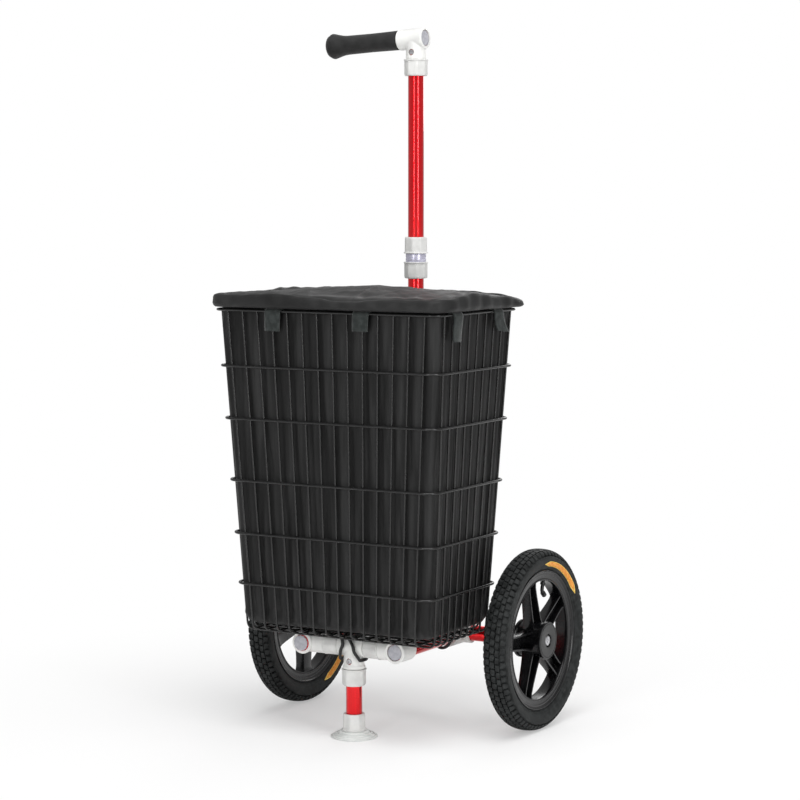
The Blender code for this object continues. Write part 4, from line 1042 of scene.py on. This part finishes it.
def build_wheels(made):
    bolt = (from_mm([(0, -2.2), (3, -2.2), (3.6, -0.2), (6.6, 0), (7.6, -0.6), (8, -1.6)], 0, BOLT_FACE)
            + [(0.0080, BOLT_SEAT), (0.0050, BOLT_SEAT), (0.0050, -0.0475), (0, -0.0485)])
    for side, label in SIDES:
        place = placed(Vector((side * TRACK_HALF, AXLE_Y, AXLE_Z)), side * X)
        piece(f"tyre_{label}_tread", tyre_shape(), place, made["rubber"], f"tyre_{label}", sharp=32)
        rim = worked(f"rim_{label}_casting", (rim_ring(), place),
                     [(hub_shape(), place), (spoke_shape(side * SPOKE_PHASE[side]), place)])
        creased(rim.data, 34)
        dressed(rim, made["rim"], f"rim_{label}")
        turn = Matrix.Rotation(side * VALVE_TURN[side], 4, "Z")
        outward = (place @ turn).to_3x3() @ X
        piece(f"valve_{label}_stem", valve_shape(), placed(place.translation, outward, VALVE_TWIST),
              made["valve"], f"valve_{label}", sharp=50)
        piece(f"wheel_bolt_{label}_turned", lathe(bolt, 36), place, made["zinc"], f"wheel_bolt_{label}")
        for ring, (surface, inner_r, outer_r, lift) in enumerate(LABEL_LAYERS):
            middle, half = LABEL_MIDDLE[side], LABEL_HALF - LABEL_EDGE * ring
            shape = band_shape(middle - half, middle + half, inner_r, outer_r, lift, side)
            band = add_object(f"tyre_{label}_band_{ring}", to_mesh("band", shape), place)
            coated(band, made[surface])
            thicken(band, 0.0003)
            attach(band, f"{label}_wheel")


# Basket

def spread(count):
    return [2 * i / (count - 1) - 1 for i in range(count)]


def basket_half(z):
    """Half width and half depth of the hoops' centre line at a height."""
    share = (z - LOW_WIRE_Z) / BASKET_HEIGHT
    return (FLOOR_HALF_X + (RIM_HALF_X - FLOOR_HALF_X) * share,
            FLOOR_HALF_Y + (RIM_HALF_Y - FLOOR_HALF_Y) * share)


def corners_of(half_x, half_y, corner):
    """The basket's four corners in turn: number and centre of the rounding."""
    for quarter in range(4):
        sx = 1 if quarter in (0, 3) else -1
        sy = 1 if quarter in (0, 1) else -1
        yield quarter, Vector((sx * (half_x - corner), BASKET_Y + sy * (half_y - corner)))


def hoop_line(half_x, half_y, z, steps=8):
    points = []
    for quarter, centre in corners_of(half_x, half_y, CORNER_R):
        for step in range(steps + 1):
            angle = (quarter + step / steps) * pi / 2
            points.append(centre.to_3d() + Z * z + CORNER_R * Vector((cos(angle), sin(angle), 0)))
    return points


def upright(along_rim, along_floor, axis, floor_z):
    """A wire down one wall, under the floor and up the other; axis 1 runs front to back, 0 side to side."""
    line = [Vector((along_rim, basket_half(RIM_Z)[axis] - WIRE_INSET, RIM_Z + 0.0008)),
            Vector((along_floor, basket_half(floor_z)[axis] - WIRE_INSET, floor_z))]
    whole = rounded(line + [Vector((p.x, -p.y, p.z)) for p in reversed(line)], BEND_R, 6)
    if axis == 0:
        return [Vector((p.y, BASKET_Y + p.x, p.z)) for p in whole]
    return [Vector((p.x, BASKET_Y + p.y, p.z)) for p in whole]


def build_basket(coating):
    shape = bmesh.new()
    for share in HOOP_SHARES:
        z = LOW_WIRE_Z + share * BASKET_HEIGHT
        swept(hoop_line(*basket_half(z), z), HOOP_R, 14, True, shape)
    for axis, panels, at_rim, at_floor, z in (
            (1, PANELS_X, RIM_HALF_X - MARGIN_X, FLOOR_HALF_X - MARGIN_X, TOP_WIRE_Z),
            (0, PANELS_Y, RIM_HALF_Y - MARGIN_Y, FLOOR_HALF_Y - MARGIN_Y, LOW_WIRE_Z)):
        for u in spread(panels + 1):
            swept(upright(u * at_rim, u * at_floor, axis, z), WIRE_R, 12, False, shape)
    piece("basket_wires", shape, None, coating, "wire_basket", sharp=60)


# Cloth

def wall_ring(half_x, half_y, corner, counts=(84, 50, 8)):
    """Points round a rounded rectangle: place, outward direction and running distance."""
    along_x, along_y, round_corner = counts
    ring = []
    for quarter, centre in corners_of(half_x, half_y, corner):
        for step in range(round_corner):
            angle = (quarter + step / round_corner) * pi / 2
            out = Vector((cos(angle), sin(angle)))
            ring.append((centre + corner * out, out))
        out = Vector((cos((quarter + 1) * pi / 2), sin((quarter + 1) * pi / 2)))
        count, reach = (along_x, half_x) if quarter in (0, 2) else (along_y, half_y)
        span = 2 * (reach - corner)
        step_way = Vector((-out.y, out.x))
        for step in range(count):
            ring.append((centre + corner * out + step_way * span * step / count, out))
    runs = [0.0]
    for (a, _), (b, _) in zip(ring, ring[1:]):
        runs.append(runs[-1] + (b - a).length)
    return [(p, out, run) for (p, out), run in zip(ring, runs)]


def hung(name, rings, pairs, thickness):
    """A cloth through rings of points, with each point's place on the flat cloth as its UV, in metres."""
    made = add_object(name, to_mesh(name, loft(rings), 80))
    layer = made.data.uv_layers.new(name="flat_cloth")
    for loop in made.data.loops:
        layer.data[loop.index].uv = pairs[loop.vertex_index]
    thicken(made, thickness)
    return settled(made)


def swell(place, z):
    """How far the full bag swells out between its wires: nothing on a wire, most at the corners."""
    half = basket_half(z)
    local = (place.x, place.y - BASKET_Y)
    if abs(local[1]) / half[1] > abs(local[0]) / half[0]:
        along, reach, panels = local[0], half[0] - MARGIN_X, PANELS_X
    else:
        along, reach, panels = local[1], half[1] - MARGIN_Y, PANELS_Y
    step = (along / reach + 1) / 2 * panels
    if 0 <= step <= panels:
        return 0.0030 * sin(pi * step) ** 2
    low = bell(z - BAG_FLOOR_Z - 0.020, 0.016) * 0.0016
    return (0.0050 + low) * min(1.0, (abs(along) - reach) / 0.010)


def fold_depth(z, point):
    """How far the bag's wall stands back from its wires: soft folds down the wall with a few sharp ones."""
    broad = ripple(point, 0.055, 0.055, z / 0.45)
    narrow = ripple(point, 0.016, 0.016, z / 0.26, (7, 0))
    crease = 1 - abs(ripple(point, 0.034, 0.034, z / 0.38, (0, 3))) * 4
    depth = 0.0004 + 0.0022 * max(0.0, broad) + 0.0024 * max(0.0, narrow) + 0.0032 * max(0.0, crease)
    return depth + bell(z - BAG_FLOOR_Z - 0.026, 0.007) * 0.0016


def build_bag(made):
    """The bag from its floor's middle, over its rounded bottom edge and up its walls to the rim."""
    reference = wall_ring(RIM_HALF_X, RIM_HALF_Y, CORNER_R)
    centre = Vector((0, BASKET_Y))
    rings = []
    half_x, half_y = basket_half(BAG_FLOOR_Z)
    edge = wall_ring(half_x - BAG_INSET - BAG_ROUND, half_y - BAG_INSET - BAG_ROUND, CORNER_R - 0.006)
    for k in range(FLOOR_STEPS):
        points = []
        for p, _, _ in edge:
            q = centre + (p - centre) * (k / FLOOR_STEPS)
            sag = 0.0022 * (ripple(q, 0.05, 0.05, 5.0) - 0.35)
            points.append(Vector((q.x, q.y, BAG_FLOOR_Z + max(sag, -0.0003))))
        rings.append(points if k else points[:1])
    levels = [(BAG_FLOOR_Z + rise, draw * BAG_ROUND)
              for rise, draw in ((0.0, 1.0), (0.0012, 0.62), (0.0036, 0.30), (0.0075, 0.09), (0.0140, 0.0))]
    start = BAG_FLOOR_Z + BAG_ROUND
    levels += [(start + (BAG_TOP_Z - start) * i / WALL_STEPS, 0.0) for i in range(1, WALL_STEPS + 1)]
    for z, draw in levels:
        half_x, half_y = basket_half(z)
        ring = wall_ring(half_x - BAG_INSET - draw, half_y - BAG_INSET - draw, CORNER_R - 0.004)
        full = held((z - BAG_FLOOR_Z - 0.004) / 0.012) * min(1.0, (BAG_TOP_Z - z) / 0.03)
        points = []
        for (p, out, _), (far, _, _) in zip(ring, reference):
            q = p - out * ((fold_depth(z, far) - swell(p, z)) * full)
            points.append(Vector((q.x, q.y, z)))
        rings.append(points)
    pairs = [(reference[k][2], p.z) if number >= FLOOR_STEPS + 2 else (p.x, p.y)
             for number, ring in enumerate(rings) for k, p in enumerate(ring)]
    return dressed(hung("bag_shell", rings, pairs, CLOTH), made["cloth"], "liner_bag")


# Tabs on the front and back, then on the two sides: place along the rim, side, drop and skew.
LONG_TABS = ((-0.088, -1, 0.0300, 0.02), (0.068, -1, 0.0260, -0.05), (-0.078, 1, 0.028, 0.1),
             (0.078, 1, 0.026, -0.1))
SHORT_TABS = ((-0.073, 1, 0.0400, -0.22), (0.053, 1, 0.0310, 0.40), (-0.073, -1, 0.028, 0.1),
              (0.073, -1, 0.030, -0.2))


def build_tabs(made):
    """Hook-and-loop tabs from the bag's edge over the rim wire, each hanging a little its own way."""
    places = [(Vector((x, BASKET_Y + s * RIM_HALF_Y, 0)), s * Y, *rest) for x, s, *rest in LONG_TABS]
    places += [(Vector((s * RIM_HALF_X, BASKET_Y + y, 0)), s * X, *rest) for y, s, *rest in SHORT_TABS]
    over = rounded(from_mm([(-10.5, -14), (-8.5, -4), (-5.5, 0.6)], 0, BAG_TOP_Z)
                   + [(0, RIM_Z + HOOP_R + 0.0009), (0.0024, RIM_Z + 0.0010), (TAB_OUT, RIM_Z - 0.0030)],
                   0.004)
    steps = 14
    tabs = []
    for number, (edge, out, drop, skew) in enumerate(places):
        side = Z.cross(out)
        path = list(over)
        for t in [i / steps for i in range(1, steps + 1)]:
            sway = 0.0022 * sin(t * 2.2 + number) * t
            path.append(Vector((TAB_OUT + sway, RIM_Z - 0.0030 - (drop - 0.003) * t)))
        rows = []
        for p in path:
            fall = max(0.0, (RIM_Z - p.y) / drop)
            row = []
            for k in range(9):
                w = (k / 8 - 0.5) * TAB_WIDTH
                shift = skew * 0.020 * fall * fall
                turn = skew * 0.012 * fall * (k / 4 - 1)
                bow = 0.0012 * fall * cos((k / 8 - 0.5) * pi * (1.6 + 0.4 * (number % 3)))
                place = edge + side * (w * (1 - 0.06 * fall) + shift) + out * (p.x + bow + max(0.0, turn))
                row.append(place + Z * (p.y - abs(skew) * 0.004 * fall * (k / 4 - 1)))
            rows.append(row)
        tab = add_object(f"rim_tab_{number}", to_mesh(f"rim_tab_{number}", strip(rows), 60))
        thicken(tab, TAB_CLOTH, 0)
        coated(tab, made["tab"])
        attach(tab, "frame")
        tabs.append(tab)
    return tabs


# Humps and hollows of the lid's hem, as seen: place, width, rise.
HEM_HUMPS = (((-0.085, -0.212), 0.035, 0.004), ((0.045, -0.212), 0.05, -0.0065),
             ((0.16, -0.212), 0.03, -0.001), ((0.21, -0.12), 0.048, 0.0085), ((0.21, 0.01), 0.025, -0.001),
             ((0.215, 0.05), 0.036, -0.0105),
             ((-0.205, -0.15), 0.04, 0.001), ((-0.21, 0.0), 0.04, 0.003), ((0.0, 0.055), 0.06, -0.004),
             ((0.1, 0.055), 0.03, 0.003), ((-0.1, 0.055), 0.03, 0.0025))
# The hem's section: rise, distance out and share of the humps.
HEM = ((0.0022, -0.0075, 0.0), (0.0004, -0.0040, 0.0), (0.0, 0.0020, 0.0), (0.0004, 0.0068, 0.05),
       (0.0022, 0.0094, 0.15), (0.0060, 0.0112, 0.35), (0.0105, 0.0106, 0.6), (0.0150, 0.0100, 0.85),
       (0.0182, 0.0082, 1.0), (0.0196, 0.0050, 1.0), (0.0190, 0.0008, 1.0))
RIDGE_WAY = Vector((0.050, -0.180))        # seam that runs from the lid's peak to its front


def hem_rise(point):
    wave = sum(height * bell(hypot(point.x - place[0], point.y - place[1]), width)
               for place, width, height in HEM_HUMPS)
    return wave + 0.0016 * ripple(point, 0.022, 0.022, 9.0)


def build_lid(made):
    """One cloth from hem to peak."""
    edge = wall_ring(RIM_HALF_X, RIM_HALF_Y, CORNER_R, (110, 66, 10))
    centre = Vector((0.006, BASKET_Y + 0.030))
    rings, pairs = [], []
    for rise, out_by, share in HEM:
        ring = []
        for p, out, run in edge:
            pucker = (0.0022 * ripple(p, 0.028, 0.028, 2.0) * (0.3 + share)
                      + 0.0009 * sin(run / 0.0105 * 2) * (1 - share) * share * 4)
            sag = -0.0012 * max(0.0, ripple(p, 0.05, 0.05, 4.0)) * (1 - share)
            q = p + out * (out_by + pucker + LID_SHIFT * out.x)
            ring.append(Vector((q.x, q.y, LID_BASE_Z + rise + hem_rise(p) * share - sag)))
            pairs.append((run, rise + out_by * 0.3))
        rings.append(ring)
    hem_top = rings[-1]
    for i in range(1, LID_STEPS + 1):
        t = 1 - i / LID_STEPS
        crown = LID_PEAK * (1 - t) ** 1.25
        dip = -0.0042 * bell(1 - t, 0.05) * min(1.0, (1 - t) / 0.02)
        live = min(1.0, (1 - t) * 9) * min(1.0, t * 3 + 0.3)
        ring = []
        for top in hem_top:
            q = centre + (Vector((top.x, top.y)) - centre) * t
            wrinkle = ripple(q, 0.045, 0.030, 1.0) * 0.0022
            fine = (1 - abs(ripple(q, 0.030, 0.065, 6.0, (5, 0))) * 2.5) * 0.0014
            from_peak = q - centre
            along = from_peak.dot(RIDGE_WAY) / RIDGE_WAY.length
            off = abs(from_peak.x * RIDGE_WAY.y - from_peak.y * RIDGE_WAY.x) / RIDGE_WAY.length
            ridge = 0.0028 * exp(-off / 0.012) * held(along / 0.05)
            z = (LID_BASE_Z + LID_TOP + (top.z - LID_BASE_Z - LID_TOP) * t ** 2.2 + crown + dip
                 + (wrinkle + fine + ridge) * live)
            ring.append(Vector((q.x, q.y, z)))
            pairs.append((q.x, q.y))
        rings.append(ring)
    rings[-1] = rings[-1][:1]
    lid = coated(hung("lid_cloth", rings, pairs, LID_CLOTH), made["lid_cloth"])
    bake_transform(lid)
    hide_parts("lid", "lid_rear_strip")


# Straps

def arc(centre, radius, start, end, steps):
    """Points of an arc between two angles in degrees."""
    turns = [radians(start + (end - start) * k / steps) for k in range(steps + 1)]
    return [(centre[0] + radius * cos(a), centre[1] + radius * sin(a)) for a in turns]


def belt(large_r, small, small_r):
    """A tight line round a large circle at the origin and a small one."""
    away = degrees(atan2(small[1], small[0]))
    half = degrees(acos((large_r - small_r) / Vector(small).length))
    return (arc((0, 0), large_r, away + half, away + 360 - half, 36)
            + arc(small, small_r, away - half, away + half, 16))


def build_ties(strap):
    wire_step = 2 * (FLOOR_HALF_X - MARGIN_X) / PANELS_X
    over_wire = WIRE_R + TIE_R + 2 * GAP
    for side, label in SIDES:
        centre = on_rail(side, AXLE_Y - REAR_REACH - TIE_SETBACK)
        across = side * (FLOOR_HALF_X - MARGIN_X - TIE_WIRE * wire_step) - centre.x
        loop = belt(TUBE_R + TIE_R + 3 * GAP, (across, TOP_WIRE_Z - centre.z), over_wire)
        points = [centre + X * x + Z * z for x, z in loop]
        piece(f"rail_tie_{label}_strap", swept(points, TIE_R, 12, True), None, strap, f"rail_tie_{label}",
              sharp=70)
    # The leg's strap: over a floor wire, down in front of the tee, behind its stem and back up.
    wire_up = TOP_WIRE_Z - AXLE_Z
    front = TEE_R + TIE_R + 3 * GAP
    stem_round = STEM_R + TIE_R + 3 * GAP
    over = [Vector((x, LEG_TIE_Y - (wire_up + over_wire - z) * LEG_TIE_LEAN, z))
            for x, z in arc((-wire_step / 2, wire_up), over_wire, -10, 190, 6)]
    down = [Vector((0.0085, -front, 0.0060)), Vector((0.0125, -front, -0.0060)),
            Vector((stem_round * 0.88, -stem_round * 0.66, -front * 0.9))]
    behind = [Vector((x, y, -front)) for x, y in arc((0, 0), stem_round, -30, 210, 9)]
    up = [Vector((-p.x, p.y, p.z)) for p in reversed(down)]
    knots = down + behind + up + list(reversed(over))
    middle = Vector((0, LEG_Y, AXLE_Z))
    path = []
    for i in range(len(knots)):
        four = [knots[(i + k) % len(knots)] for k in (-1, 0, 1, 2)]
        path += [middle + curve_at(*four, step / 4) for step in range(4)]
    piece("leg_tie_strap", swept(path, TIE_R, 14, True), None, strap, "leg_tie", sharp=70)


def keep_nodes(made):
    """CAD nodes that stay, mostly out of sight inside others, get their finish."""
    for name, node in frame["nodes"].items():
        if name.startswith(("bearing", "axle_plug")):
            coated(node, made["zinc"])
        elif name.startswith("coupler_collet"):
            coated(node, made["plug"])


def build():
    bpy.context.scene.view_settings.view_transform = "Standard"
    set_camera()
    set_world()
    set_floor()
    for lamp in LAMPS:
        add_lamp(*lamp)
    made = make_finishes()
    build_tubes(made["red"])
    build_connectors(made["white"])
    build_nuts(made["ivory"])
    build_small_parts(made)
    build_grip(made["foam"])
    build_foot(made)
    build_wheels(made)
    build_basket(made["wire"])
    bag = build_bag(made)
    tabs = build_tabs(made)
    build_lid(made)
    build_ties(made["strap"])
    keep_nodes(made)


build()
